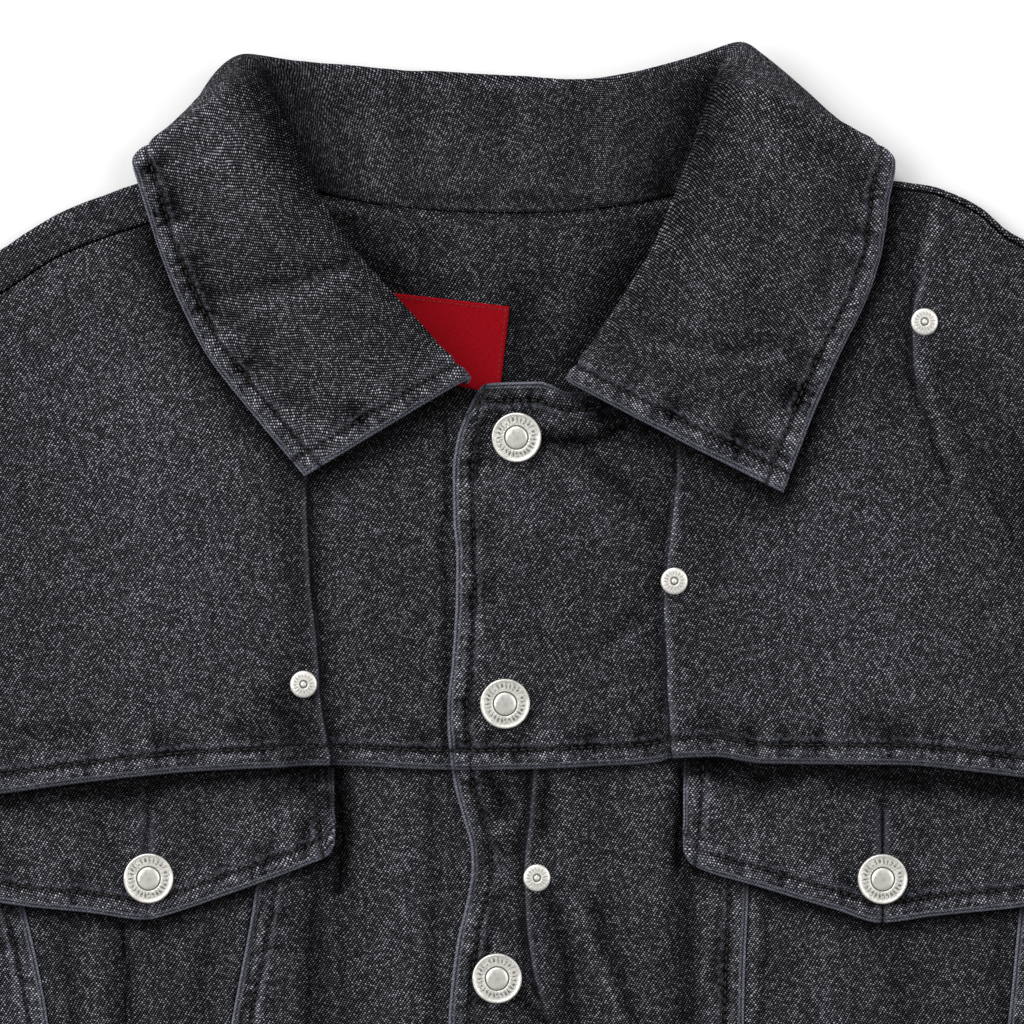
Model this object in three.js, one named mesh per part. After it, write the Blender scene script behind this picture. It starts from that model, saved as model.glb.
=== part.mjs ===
// A denim jacket of the trucker cut, buttoned up and laid on its back with the sleeves out at the sides.
// Millimetres. +Z is up off the table, +Y towards the collar and +X towards the wearer's left.
// The tables measure y from the chest line, which is 41 mm below the top of the front edge. At the end the
// group is moved so that the origin is the middle of the laid-out jacket, on the table.
import * as THREE from "three";

// Cloth
const CLOTH = 1.2; // one layer of denim
const DOUBLE = 2.4; // two layers sewn together: collar, flaps, cuffs and waistband
const LABEL = 1; // woven label with its edges turned in
const GAP = 0.3; // between pieces at a seam, and between layers
const LOFT = 2; // the air that stays between the back and the front
const EASED_GAP = 0.9; // at the curved seams: shoulder, armhole and the top of a flap
const LAP = 4; // how far a lower panel reaches under the yoke

// Body
const WAIST_Y = -418; // top of the waistband
const HEM_Y = -462;
const BACK_SEAM_Y = -58; // back yoke to back panel
const UNDERLAP_X = 15; // where the wearer's right front ends, under the left one
const OVERLAP_ENDS_X = 36; // where the left front has come down beside it
const BACK_NECK_X = 84; // half of the neck's width at the shoulder
const HALF_SHOULDER = 268;
const HALF_WAIST = 250;
const FOLD = (CLOTH + GAP + LOFT) / 2; // radius of a fold round the air, at the middle of the cloth
const RIGHT_SEAM_FORWARD = 12; // the right shoulder seam lies this far in front of the fold

// Sleeves
const CUFF_TOP = { outerX: 630, outerY: -282, innerX: 536, innerY: -369 };
const CUFF_HEIGHT = 62;
const ELBOW_SEAM = 0.38; // share of the back of the sleeve that the upper sleeve covers
const UNDERARM_SEAM = 8; // the underarm seam's distance from the fold, on the front

// Label and metal
const LABEL_SIZE = { width: 62, height: 42 };
const LABEL_CORNER = { x: 0, y: 70.4, turn: -0.115 };
const BUTTON_RADIUS = 8.5;
const RIVET_RADIUS = 4.65;

// Finishes
const DENIM = { color: 0x33343a, roughness: 0.93, metalness: 0 };
const NICKEL = { color: 0xc9c5bb, roughness: 0.36, metalness: 1 };
const RED = { color: 0xa01420, roughness: 0.6, metalness: 0 };

const mix = THREE.MathUtils.lerp;
const steps = (count) => Array.from({ length: count + 1 }, (_, i) => i / count);

// A smooth step from 0 at `from` to 1 at `to`.
const ramp = (from, to, at) => THREE.MathUtils.smoothstep((at - from) / (to - from), 0, 1);

// A smooth function through rows of [at, value] that never overshoots them.
function through(rows) {
  const at = rows.map((row) => row[0]);
  const value = rows.map((row) => row[1]);
  const slope = at.slice(1).map((next, i) => (value[i + 1] - value[i]) / (next - at[i]));
  const tangent = at.map((_, i) => {
    const before = slope[Math.max(i - 1, 0)];
    const after = slope[Math.min(i, slope.length - 1)];
    return before * after <= 0 ? 0 : (2 * before * after) / (before + after);
  });
  return (x) => {
    if (x <= at[0]) return value[0];
    if (x >= at[at.length - 1]) return value[at.length - 1];
    const i = at.findIndex((next) => next > x) - 1;
    const width = at[i + 1] - at[i];
    const t = (x - at[i]) / width;
    const rest = 1 - t;
    const ends = value[i] * rest * rest * (1 + 2 * t) + value[i + 1] * t * t * (3 - 2 * t);
    return ends + width * t * rest * (tangent[i] * rest - tangent[i + 1] * t);
  };
}

// Outline of the body. A side is a table of [y, x], and a top or bottom one of [x, y].
const flank = through([
  [WAIST_Y, HALF_WAIST], [-300, 270], [-232, 281], [-215, 283], [-200, 273],
  [-170, 260], [-120, 250], [-60, 248], [0, 256], [50, HALF_SHOULDER],
]);
const shoulder = through([
  [-HALF_SHOULDER, 50], [-220, 70], [-174.3, 89.5], [-167.5, 94], [-153.8, 102.5], [-128, 112.2],
  [-110, 117], [-85, 123.4], [85, 123.4], [110, 117], [130.2, 113.4], [143.2, 112.1], [152.1, 109],
  [161.7, 103.7], [169.5, 96.7], [175.7, 93.3], [220, 71], [HALF_SHOULDER, 50],
]);
const yokeSeam = through([
  [-283, -106], [-220, -101], [-174.3, -96.4], [-150.8, -93.2], [-127.2, -90.5], [-103.7, -88.5],
  [-80.2, -87.4], [-64.6, -86.5], [-20.5, -88.2], [7, -87.7], [30.8, -86.8], [49.5, -86.1], [55, -84.2],
  [69.6, -83.6], [86.3, -86], [136.5, -86.6], [153.3, -88.2], [175.7, -90.8], [220, -96], [283, -103],
]);
const frontEdge = through([
  [HEM_Y, -20], [-300, -20], [-175, -21.2], [-158, -19.8], [-146, -18.1], [-133, -15], [-122, -13.3],
  [-114, -13.7], [-104, -16.4], [-90, -19.8], [-68, -21.5], [-51, -19.8], [-10, -18.1], [11, -17.1],
  [28, -14.4], [41, -10.3],
]);
const rightNeck = through([
  [-84, 112], [-82, 106], [-79, 96], [-73, 82], [-63, 67], [-49, 55], [-31, 47], [-15, 42.5],
  [0, 40], [15, 39],
]);
const leftNeck = through([
  [-12, 38], [-9, 41.5], [0, 43.5], [12, 44.4], [18, 42], [26, 41.5], [39, 45], [55, 54],
  [67, 68], [75, 83], [80, 98], [83, 111], [85, 122],
]);
// The back neck as it was cut: past the shoulder's fold, y counts on over the fold to the front.
const backNeck = through([
  [-84, 137], [-82, 128.5], [-79, 120], [-76, 114.5], [-66, 109.1], [-57, 107], [-42, 104.6], [-24, 103],
  [0, 102.2], [24, 103], [37, 104.4], [57, 108.6], [68, 112.5], [77, 116.5], [81, 120], [85, 125],
]);

// The seams beside each pocket, [y, x].
const pocketSeams = {
  right: {
    inner: through([[WAIST_Y, -118], [-300, -111], [-230, -104], [-175, -95.7], [-136, -88.4], [-84, -81]]),
    outer: through([[WAIST_Y, -144], [-300, -147], [-230, -152], [-175, -157.9], [-136, -165.8], [-84, -178]]),
  },
  left: {
    inner: through([[WAIST_Y, 112], [-300, 93], [-230, 82], [-175, 80.3], [-126, 82], [-84, 83]]),
    outer: through([[WAIST_Y, 140], [-300, 152], [-230, 162], [-175, 170.2], [-141, 173.6], [-84, 179]]),
  },
};

// The lower edge of each pocket flap, [x, y].
const FLAPS = {
  right: {
    from: -185.6,
    to: -60,
    edge: through([
      [-185.6, -130], [-174.3, -133.6], [-142.9, -137.1], [-124, -139.4], [-119.4, -138.4], [-95.8, -130.5],
      [-68.4, -120.3], [-61.8, -117.2], [-60, -113],
    ]),
  },
  left: {
    from: 59.2,
    to: 192.5,
    edge: through([
      [59.2, -116], [62, -120.5], [84.6, -128], [111.4, -136], [126.5, -140.4], [144.9, -138.1],
      [175.7, -134.9], [192.5, -131],
    ]),
  },
};

// Soft folds, each a line with the cloth raised or sunk along it.
const FRONT_FOLDS = [
  // x1, y1, x2, y2, half width, rise
  [-92, 4, -80, -56, 11, 0.9],
  [-47, 2, -40, -70, 10, 0.6],
  [34, -8, 44, -74, 10, 0.7],
  [72, -30, 104, -74, 10, 0.6],
  [156, 84, 160, 20, 9, 1.2],
  [150, 56, 196, -30, 10, -1.1],
  [-131, -146, -130, -230, 7, -1.1],
  [-64, -96, -66, -230, 6, -1.2],
  [60, -96, 61, -240, 6, -1.2],
  [28, -126, 62, -196, 8, 1],
  [-190, -60, -150, -10, 18, 0.7],
  [205, 40, 232, -60, 14, 0.8],
  [-225, 30, -215, -60, 14, 0.7],
  [-240, -250, -180, -310, 14, 0.8],
  [240, -250, 186, -318, 14, 0.8],
  [-40, -230, -60, -390, 12, 0.7],
  [44, -240, 58, -396, 12, 0.7],
];
const SLEEVE_FOLDS = [
  [300, -40, 356, -150, 14, 1.3],
  [330, -70, 404, -190, 14, -1],
  [398, -130, 430, -230, 12, 1.2],
  [470, -160, 470, -260, 12, -0.9],
  [520, -230, 560, -300, 12, 1],
  [300, -150, 350, -215, 13, 1],
];
function foldRise(x, y, folds) {
  let sum = 0;
  for (const [x1, y1, x2, y2, half, rise] of folds) {
    const length = Math.hypot(x2 - x1, y2 - y1);
    const along = ((x - x1) * (x2 - x1) + (y - y1) * (y2 - y1)) / length;
    const across = ((x - x1) * (y2 - y1) - (y - y1) * (x2 - x1)) / length;
    const ends = ramp(-half, half, along) * ramp(length + half, length - half, along);
    sum += rise * ends * Math.exp(-((across / half) ** 2));
  }
  return sum;
}

// Tucks: the cloth is folded over itself along a line and held by a rivet. `over` is 1 where the side with
// larger x lies on top. `shut` is how far the fold is closed and `high` how far it stands, each [y, 0 to 1].
const TUCKS = {
  rightYoke: {
    over: -1,
    line: through([[-84, -61.5], [-61, -65], [-51, -65.6], [-23, -68.4], [14, -70], [60, -71]]),
    shut: through([[-84, 1], [4, 1], [26, 0]]),
    high: through([[-84, 1], [2, 1], [34, 0]]),
  },
  leftYoke: {
    over: 1,
    line: through([[-84, 55.6], [-57, 53.7], [-30, 52.6], [-16, 54], [16, 57.4], [60, 60]]),
    shut: through([[-84, 1], [10, 1], [30, 0]]),
    high: through([[-84, 1], [12, 1], [38, 0]]),
  },
  leftShoulder: {
    over: 1,
    line: through([[-20, 146], [28, 141.8], [38, 140.1], [55, 137.7], [67, 137.4], [83, 141.8], [105, 147]]),
    shut: through([[28, 0], [44, 0.9], [60, 1], [74, 0.9], [88, 0]]),
    high: through([[6, 0], [30, 0.5], [44, 1], [76, 1], [90, 0.45], [104, 0]]),
  },
  leftFront: {
    over: 1,
    line: through([[-230, 22], [-196, 17], [-170, 12], [-156, 7.9], [-140, 5.8], [-122, 5.1], [-105, 6.8], [-84, 8.5]]),
    shut: through([[-176, 0], [-158, 1], [-84, 1]]),
    high: through([[-220, 0], [-178, 0.8], [-160, 1], [-84, 1]]),
  },
};
const TUCK_HIGH = 2 * (CLOTH + GAP); // the two layers that the fold adds
const TUCK_REACH = { over: 33, under: 11 };
// Columns of the cloth across a tuck: distance from its edge and share of its height, shut and open.
const TUCK_COLUMNS = [
  // shut x, shut z, open x, open z
  [-4, 0, -8, 0],
  [5.3, 0, -5, 0.06],
  [6.1, 0.25, -3.5, 0.24],
  [5.3, 0.5, -2.3, 0.44],
  [0.8, 0.5, -1.2, 0.64],
  [-0.1, 0.75, 0, 0.82],
  [0.8, 1, 2, 0.96],
  [10, 0.96, 10, 0.9],
  [20, 0.32, 20, 0.32],
  [30, 0, 30, 0],
];
// The yoke's rise where it crosses the top of a tuck, by distance from the tuck's edge.
const overTuck = through([[-17, 0], [-7, 1.04], [14, 1.04], [33, 0]]);

// Heights of the middle of the cloth
const FALL_RISE = DOUBLE + 0.7; // the back lies on the collar's fall
const fallEdge = through([[0, 95.5], [60, 97], [85, 99.5], [112, 104], [120, 108], [128, 113]]);
const fallRise = (x, y) => {
  const edge = fallEdge(Math.abs(x));
  return FALL_RISE * ramp(142, 131, Math.abs(x)) * ramp(edge - 18, edge - 6, y);
};
const backMiddle = (x, y) => CLOTH / 2 + fallRise(x, y);
const sidePinch = (x, y) => LOFT * ramp(28, 4, flank(y) - Math.abs(x)) * ramp(-205, -235, y);
const frontMiddle = (x, y) => backMiddle(x, y) + 2 * FOLD + foldRise(x, y, FRONT_FOLDS) - sidePinch(x, y);
const overlapRise = (x) => (CLOTH + GAP) * ramp(OVERLAP_ENDS_X, UNDERLAP_X + 3, x);
const overFlap = ({ from, to }, x) => ramp(from - 7, from - 1, x) * ramp(to + 7, to + 1, x);
const lapRise = (x, y) => {
  const layers = 1 + overFlap(FLAPS.right, x) + overFlap(FLAPS.left, x);
  return layers * (CLOTH + GAP) * ramp(34, LAP + 4, y - yokeSeam(x));
};
// Where the left front crosses the lower edge of the right yoke, it lies one layer higher.
const lipBelow = (x, y) => {
  const above = y - yokeSeam(x);
  return overlapRise(x) * ramp(-18, -2, above) * ramp(34, LAP + 4, above);
};
const rightFrontMiddle = (x, y) => frontMiddle(x, y);
const leftFrontMiddle = (x, y) => frontMiddle(x, y) + overlapRise(x) + lipBelow(x, y);
const rightYokeMiddle = (x, y) => frontMiddle(x, y) + lapRise(x, y);
const leftYokeMiddle = (x, y) => {
  const { line } = TUCKS.leftFront;
  const tuckBelow = TUCK_HIGH * overTuck(x - line(y)) * ramp(-46, -76, y);
  return leftFrontMiddle(x, y) + lapRise(x, y) + tuckBelow;
};
// A flap bridges the troughs of the cloth below it.
const flapMiddle = (x, y) => {
  const ridges = FRONT_FOLDS.filter((fold) => fold.at(-1) > 0);
  return CLOTH + 2 * FOLD + GAP + DOUBLE / 2 + foldRise(x, y, ridges);
};

// A closed wall round a grid of points in the middle of the cloth.
function wallGeometry(grid, thickness) {
  const rows = grid.length;
  const columns = grid[0].length;
  const upper = [];
  const lower = [];
  for (let i = 0; i < rows; i++) {
    for (let j = 0; j < columns; j++) {
      const down = new THREE.Vector3();
      const along = new THREE.Vector3();
      down.subVectors(grid[Math.min(i + 1, rows - 1)][j], grid[Math.max(i - 1, 0)][j]);
      along.subVectors(grid[i][Math.min(j + 1, columns - 1)], grid[i][Math.max(j - 1, 0)]);
      const normal = down.cross(along).normalize();
      upper.push(grid[i][j].clone().addScaledVector(normal, thickness / 2));
      lower.push(grid[i][j].clone().addScaledVector(normal, -thickness / 2));
    }
  }
  const top = (i, j) => i * columns + j;
  const bottom = (i, j) => rows * columns + i * columns + j;
  const index = [];
  const quad = (a, b, c, d) => index.push(a, b, c, a, c, d);
  for (let i = 0; i < rows - 1; i++) {
    for (let j = 0; j < columns - 1; j++) {
      quad(top(i, j), top(i + 1, j), top(i + 1, j + 1), top(i, j + 1));
      quad(bottom(i, j), bottom(i, j + 1), bottom(i + 1, j + 1), bottom(i + 1, j));
    }
    quad(top(i + 1, 0), top(i, 0), bottom(i, 0), bottom(i + 1, 0));
    quad(top(i, columns - 1), top(i + 1, columns - 1), bottom(i + 1, columns - 1), bottom(i, columns - 1));
  }
  for (let j = 0; j < columns - 1; j++) {
    quad(top(0, j), top(0, j + 1), bottom(0, j + 1), bottom(0, j));
    quad(top(rows - 1, j + 1), top(rows - 1, j), bottom(rows - 1, j), bottom(rows - 1, j + 1));
  }
  return new THREE.BufferGeometry().setFromPoints([...upper, ...lower]).setIndex(index);
}

function piece(name, geometry, finish) {
  const mesh = new THREE.Mesh(geometry, new THREE.MeshStandardMaterial(finish));
  mesh.name = name;
  return mesh;
}
const clothPiece = (name, grid, thickness) => piece(name, wallGeometry(grid, thickness), DENIM);

// Where a line of [y, x] meets a top or bottom of [x, y].
function meetingY(line, edge) {
  let y = 0;
  for (let i = 0; i < 12; i++) y = edge(line(y));
  return y;
}

// A panel of the front, between two sides, a top and a bottom. Tucks cross it from top to bottom, and the
// stretches of cloth beside them have `columns` cells each.
function panelGrid({ sides, top, bottom, rows, columns, tucks = [], middle }) {
  const lines = [{ line: sides[0] }, ...tucks.map((tuck) => ({ line: tuck.line, tuck })), { line: sides[1] }];
  const stops = lines.map((stop) => {
    return { ...stop, from: meetingY(stop.line, top), to: meetingY(stop.line, bottom) };
  });
  const reach = (tuck, toRight) => ((tuck.over > 0) === toRight ? TUCK_REACH.over : TUCK_REACH.under);
  return steps(rows).map((share) => {
    const row = [];
    const put = (x, rise) => {
      const y = mix(top(x), bottom(x), share);
      row.push(new THREE.Vector3(x, y, middle(x, y) + rise));
    };
    const places = stops.map(({ line, tuck, from, to }) => {
      const y = mix(from, to, share);
      return { x: line(y), y, tuck };
    });
    for (let k = 0; k < places.length - 1; k++) {
      const [left, right] = [places[k], places[k + 1]];
      const from = left.x + (left.tuck ? reach(left.tuck, true) : 0);
      const to = right.x - (right.tuck ? reach(right.tuck, false) : 0);
      for (const along of steps(columns[k])) put(mix(from, to, along), 0);
      if (!right.tuck) continue;
      const { over } = right.tuck;
      const shut = right.tuck.shut(right.y);
      const high = right.tuck.high(right.y) * TUCK_HIGH;
      for (const [shutX, shutZ, openX, openZ] of over > 0 ? TUCK_COLUMNS : [...TUCK_COLUMNS].reverse()) {
        put(right.x + over * mix(openX, shutX, shut), high * mix(openZ, shutZ, shut));
      }
    }
    return row;
  });
}

// The cloth over the shoulder. `v` is y as it was cut: it counts on round the fold and down the front.
const foldStart = (x) => shoulder(x) - CLOTH / 2 - FOLD;
const foldEnd = (x) => foldStart(x) + Math.PI * FOLD;
function overShoulder(x, v) {
  const start = foldStart(x);
  if (v <= start) return { y: v, z: backMiddle(x, v) };
  const centre = backMiddle(x, start) + FOLD;
  if (v <= foldEnd(x)) {
    const angle = (v - start) / FOLD - Math.PI / 2;
    return { y: start + FOLD * Math.cos(angle), z: centre + FOLD * Math.sin(angle) };
  }
  const y = start - (v - foldEnd(x));
  return { y, z: frontMiddle(x, y) };
}

function backYoke() {
  const columns = [
    -268, -232, -196, -168, -148, -130, -110, -93, -84, -82, -79, -76, -66, -42, -20,
    0, 20, 40, 57, 68, 77, 81, 85, 98, 114, 131, 141, 150, 160, 172, 196, 232, 268,
  ];
  const backShares = [0, 0.3, 0.6, 0.8, 0.88, 0.94, 1];
  const grid = [...backShares, 1.25, 1.5, 1.75, 2, 3].map((share) => {
    return columns.map((x) => {
      const seam = foldEnd(x) + (x < 0 ? RIGHT_SEAM_FORWARD : 0);
      const edge = Math.abs(x) <= BACK_NECK_X + 1 ? Math.min(backNeck(x), seam) : seam;
      const start = Math.min(foldStart(x), edge - 8);
      const end = Math.min(foldEnd(x), edge - 1.5);
      let v = mix(BACK_SEAM_Y + GAP / 2, start, share);
      if (share > 1) v = mix(start, end, Math.min(share - 1, 1));
      if (share > 2) v = edge;
      const guess = overShoulder(x, v);
      const sideX = (x / HALF_SHOULDER) * (Math.min(HALF_SHOULDER, flank(guess.y)) - GAP / 2);
      const { y, z } = overShoulder(sideX, v);
      return new THREE.Vector3(sideX, y, z);
    });
  });
  return clothPiece("back_yoke", grid, CLOTH);
}

function backPanel() {
  const rows = [BACK_SEAM_Y - GAP / 2, -100, -140, -170, -200, -215, -232, -300, -360, WAIST_Y + GAP / 2];
  const grid = rows.map((y) => {
    const side = flank(y) - GAP / 2;
    return steps(4).map((share) => new THREE.Vector3(mix(-side, side, share), y, CLOTH / 2));
  });
  return clothPiece("back_panel", grid, CLOTH);
}

// Front
const rightSide = (y) => -flank(y) + GAP / 2;
const leftSide = (y) => flank(y) - GAP / 2;
const seamBelow = (x) => foldStart(x) - EASED_GAP;

function rightYoke() {
  const grid = panelGrid({
    sides: [rightSide, () => UNDERLAP_X],
    top: (x) => Math.min(seamBelow(x) - RIGHT_SEAM_FORWARD, x < -BACK_NECK_X ? Infinity : rightNeck(x)),
    bottom: yokeSeam,
    rows: 12,
    columns: [9, 5],
    tucks: [TUCKS.rightYoke],
    middle: rightYokeMiddle,
  });
  return clothPiece("front_yoke_right", grid, CLOTH);
}

function leftYoke() {
  const grid = panelGrid({
    sides: [frontEdge, leftSide],
    top: (x) => Math.min(seamBelow(x), x > BACK_NECK_X + 1 ? Infinity : leftNeck(x)),
    bottom: yokeSeam,
    rows: 11,
    columns: [7, 3, 6],
    tucks: [TUCKS.leftYoke, TUCKS.leftShoulder],
    middle: leftYokeMiddle,
  });
  return clothPiece("front_yoke_left", grid, CLOTH);
}

function lowerPanel(name, from, to, { rows = 10, columns = [4], tucks = [], middle }) {
  const sides = [(y) => from(y) + GAP / 2, (y) => to(y) - GAP / 2];
  const top = (x) => yokeSeam(x) + LAP;
  const bottom = () => WAIST_Y + GAP;
  return clothPiece(name, panelGrid({ sides, top, bottom, rows, columns, tucks, middle }), CLOTH);
}

function lowerPanels() {
  const { right, left } = pocketSeams;
  const onRight = { middle: rightFrontMiddle };
  const onLeft = { middle: leftFrontMiddle };
  return [
    lowerPanel("front_side_right", (y) => -flank(y), right.outer, onRight),
    lowerPanel("front_pocket_right", right.outer, right.inner, { ...onRight, columns: [6] }),
    lowerPanel("front_centre_right", right.inner, () => UNDERLAP_X, { ...onRight, columns: [7] }),
    lowerPanel("front_centre_left", frontEdge, left.inner, {
      ...onLeft,
      rows: 12,
      columns: [2, 3],
      tucks: [TUCKS.leftFront],
    }),
    lowerPanel("front_pocket_left", left.inner, left.outer, onLeft),
    lowerPanel("front_side_left", left.outer, flank, onLeft),
  ];
}

function pocketFlap(name, { from, to, edge }) {
  const columns = [0, 0.015, 0.06, 0.16, 0.28, 0.4, 0.5, 0.6, 0.72, 0.84, 0.94, 0.985, 1];
  const grid = steps(4).map((share) => {
    return columns.map((across) => {
      const x = mix(from, to, across);
      const y = mix(yokeSeam(x) - EASED_GAP, edge(x), share);
      return new THREE.Vector3(x, y, flapMiddle(x, y));
    });
  });
  return clothPiece(name, grid, DOUBLE);
}

// A band buttoned into a ring and laid flat: points [across, z] from its under end, round and up to its top end.
function bandPath({ half, underEnd, topEnd, cells }) {
  const low = DOUBLE / 2;
  const high = low + 2 * FOLD;
  const centre = half - DOUBLE / 2 - FOLD;
  const turn = [0.25, 0.5, 0.75].map((share) => share * Math.PI);
  const raise = (across) => (DOUBLE + GAP) * ramp(underEnd + 24, underEnd + 3, across);
  const span = (from, to, count) => steps(count).map((share) => mix(from, to, share));
  return [
    ...span(underEnd, -centre, cells).map((across) => [across, high]),
    ...turn.map((angle) => [-centre - FOLD * Math.sin(angle), low + FOLD + FOLD * Math.cos(angle)]),
    ...span(-centre, centre, cells).map((across) => [across, low]),
    ...turn.map((angle) => [centre + FOLD * Math.sin(angle), low + FOLD - FOLD * Math.cos(angle)]),
    ...span(centre, underEnd + 24, Math.ceil(cells / 2)).map((across) => [across, high + raise(across)]),
    ...span(underEnd + 16, topEnd, 5).map((across) => [across, high + raise(across)]),
  ];
}

function waistband() {
  const path = bandPath({ half: HALF_WAIST, underEnd: UNDERLAP_X, topEnd: frontEdge(HEM_Y), cells: 8 });
  const grid = steps(2).map((share) => path.map(([x, z]) => new THREE.Vector3(x, mix(WAIST_Y, HEM_Y, share), z)));
  return clothPiece("waistband", grid, DOUBLE);
}

// Sleeves. Each is a flattened tube between an outer and an inner edge, share of the length by place.
const SLEEVE = {
  outerX: through([[0, 268], [0.11, 316], [0.27, 380], [0.47, 452], [0.73, 538], [1, CUFF_TOP.outerX]]),
  outerY: through([[0, 50], [0.11, 26], [0.27, -24], [0.47, -92], [0.73, -182], [1, CUFF_TOP.outerY]]),
  innerX: through([[0, 283], [0.11, 316], [0.27, 356], [0.47, 404], [0.73, 470], [1, CUFF_TOP.innerX]]),
  innerY: through([[0, -215], [0.11, -240], [0.27, -264], [0.47, -292], [0.73, -331], [1, CUFF_TOP.innerY]]),
};
const ARMHOLE_EASES_OUT = 0.35; // share of the sleeve's length in which its cap's curve fades

function sleevePoint(share, fromOuter, width, z, mirror) {
  const across = fromOuter / width;
  const x = mix(SLEEVE.outerX(share), SLEEVE.innerX(share), across);
  const y = mix(SLEEVE.outerY(share), SLEEVE.innerY(share), across);
  const seamY = mix(SLEEVE.outerY(0), SLEEVE.innerY(0), across);
  const seamX = mix(SLEEVE.outerX(0), SLEEVE.innerX(0), across);
  const cap = (flank(seamY) + EASED_GAP - seamX) * ramp(ARMHOLE_EASES_OUT, 0, share);
  const onFront = ramp(CLOTH, 2 * FOLD, z) * ramp(0, 14, fromOuter) * ramp(0, 14, width - fromOuter);
  const rise = foldRise(x, y, SLEEVE_FOLDS) * onFront;
  return new THREE.Vector3(mirror * (x + cap), y, z + rise);
}

function sleeve(name, side, mirror) {
  const low = CLOTH / 2;
  const high = low + 2 * FOLD;
  const inset = CLOTH / 2 + FOLD;
  const turn = [0.25, 0.5, 0.75].map((share) => share * Math.PI);
  const span = (from, to, count, z) => steps(count).map((share) => [mix(from, to, share), z]);
  const upperPath = (width) => [
    ...span(width - UNDERARM_SEAM, inset, 8, high),
    ...turn.map((angle) => [inset - FOLD * Math.sin(angle), low + FOLD + FOLD * Math.cos(angle)]),
    ...span(inset, width * ELBOW_SEAM, 2, low),
  ];
  const underPath = (width) => [
    ...span(width * ELBOW_SEAM + GAP, width - inset, 3, low),
    ...turn.map((angle) => [width - inset + FOLD * Math.sin(angle), low + FOLD - FOLD * Math.cos(angle)]),
    ...span(width - inset, width - UNDERARM_SEAM + GAP, 1, high),
  ];
  const grid = (path) => [0, 0.06, 0.14, 0.24, 0.35, 0.48, 0.64, 0.82, 0.998].map((share) => {
    const reachX = SLEEVE.innerX(share) - SLEEVE.outerX(share);
    const reachY = SLEEVE.innerY(share) - SLEEVE.outerY(share);
    const width = Math.hypot(reachX, reachY);
    return path(width).map(([fromOuter, z]) => sleevePoint(share, fromOuter, width, z, mirror));
  });
  return [
    clothPiece(`${name}_upper_${side}`, grid(upperPath), CLOTH),
    clothPiece(`${name}_under_${side}`, grid(underPath), CLOTH),
  ];
}

// A place on the cuff: `across` from its middle towards the outer edge, `down` from its top.
function cuffPoint(across, down, z, mirror) {
  const { outerX, outerY, innerX, innerY } = CUFF_TOP;
  const width = Math.hypot(outerX - innerX, outerY - innerY);
  const [alongX, alongY] = [(outerX - innerX) / width, (outerY - innerY) / width];
  const x = (outerX + innerX) / 2 + across * alongX + down * alongY;
  const y = (outerY + innerY) / 2 + across * alongY - down * alongX;
  return new THREE.Vector3(mirror * x, y, z);
}

function cuff(name, mirror) {
  const width = Math.hypot(CUFF_TOP.outerX - CUFF_TOP.innerX, CUFF_TOP.outerY - CUFF_TOP.innerY);
  const path = bandPath({ half: width / 2, underEnd: 26, topEnd: 2, cells: 4 });
  const grid = steps(2).map((share) => {
    return path.map(([across, z]) => cuffPoint(across, GAP + share * (CUFF_HEIGHT - GAP), z, mirror));
  });
  return clothPiece(name, grid, DOUBLE);
}

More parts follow.
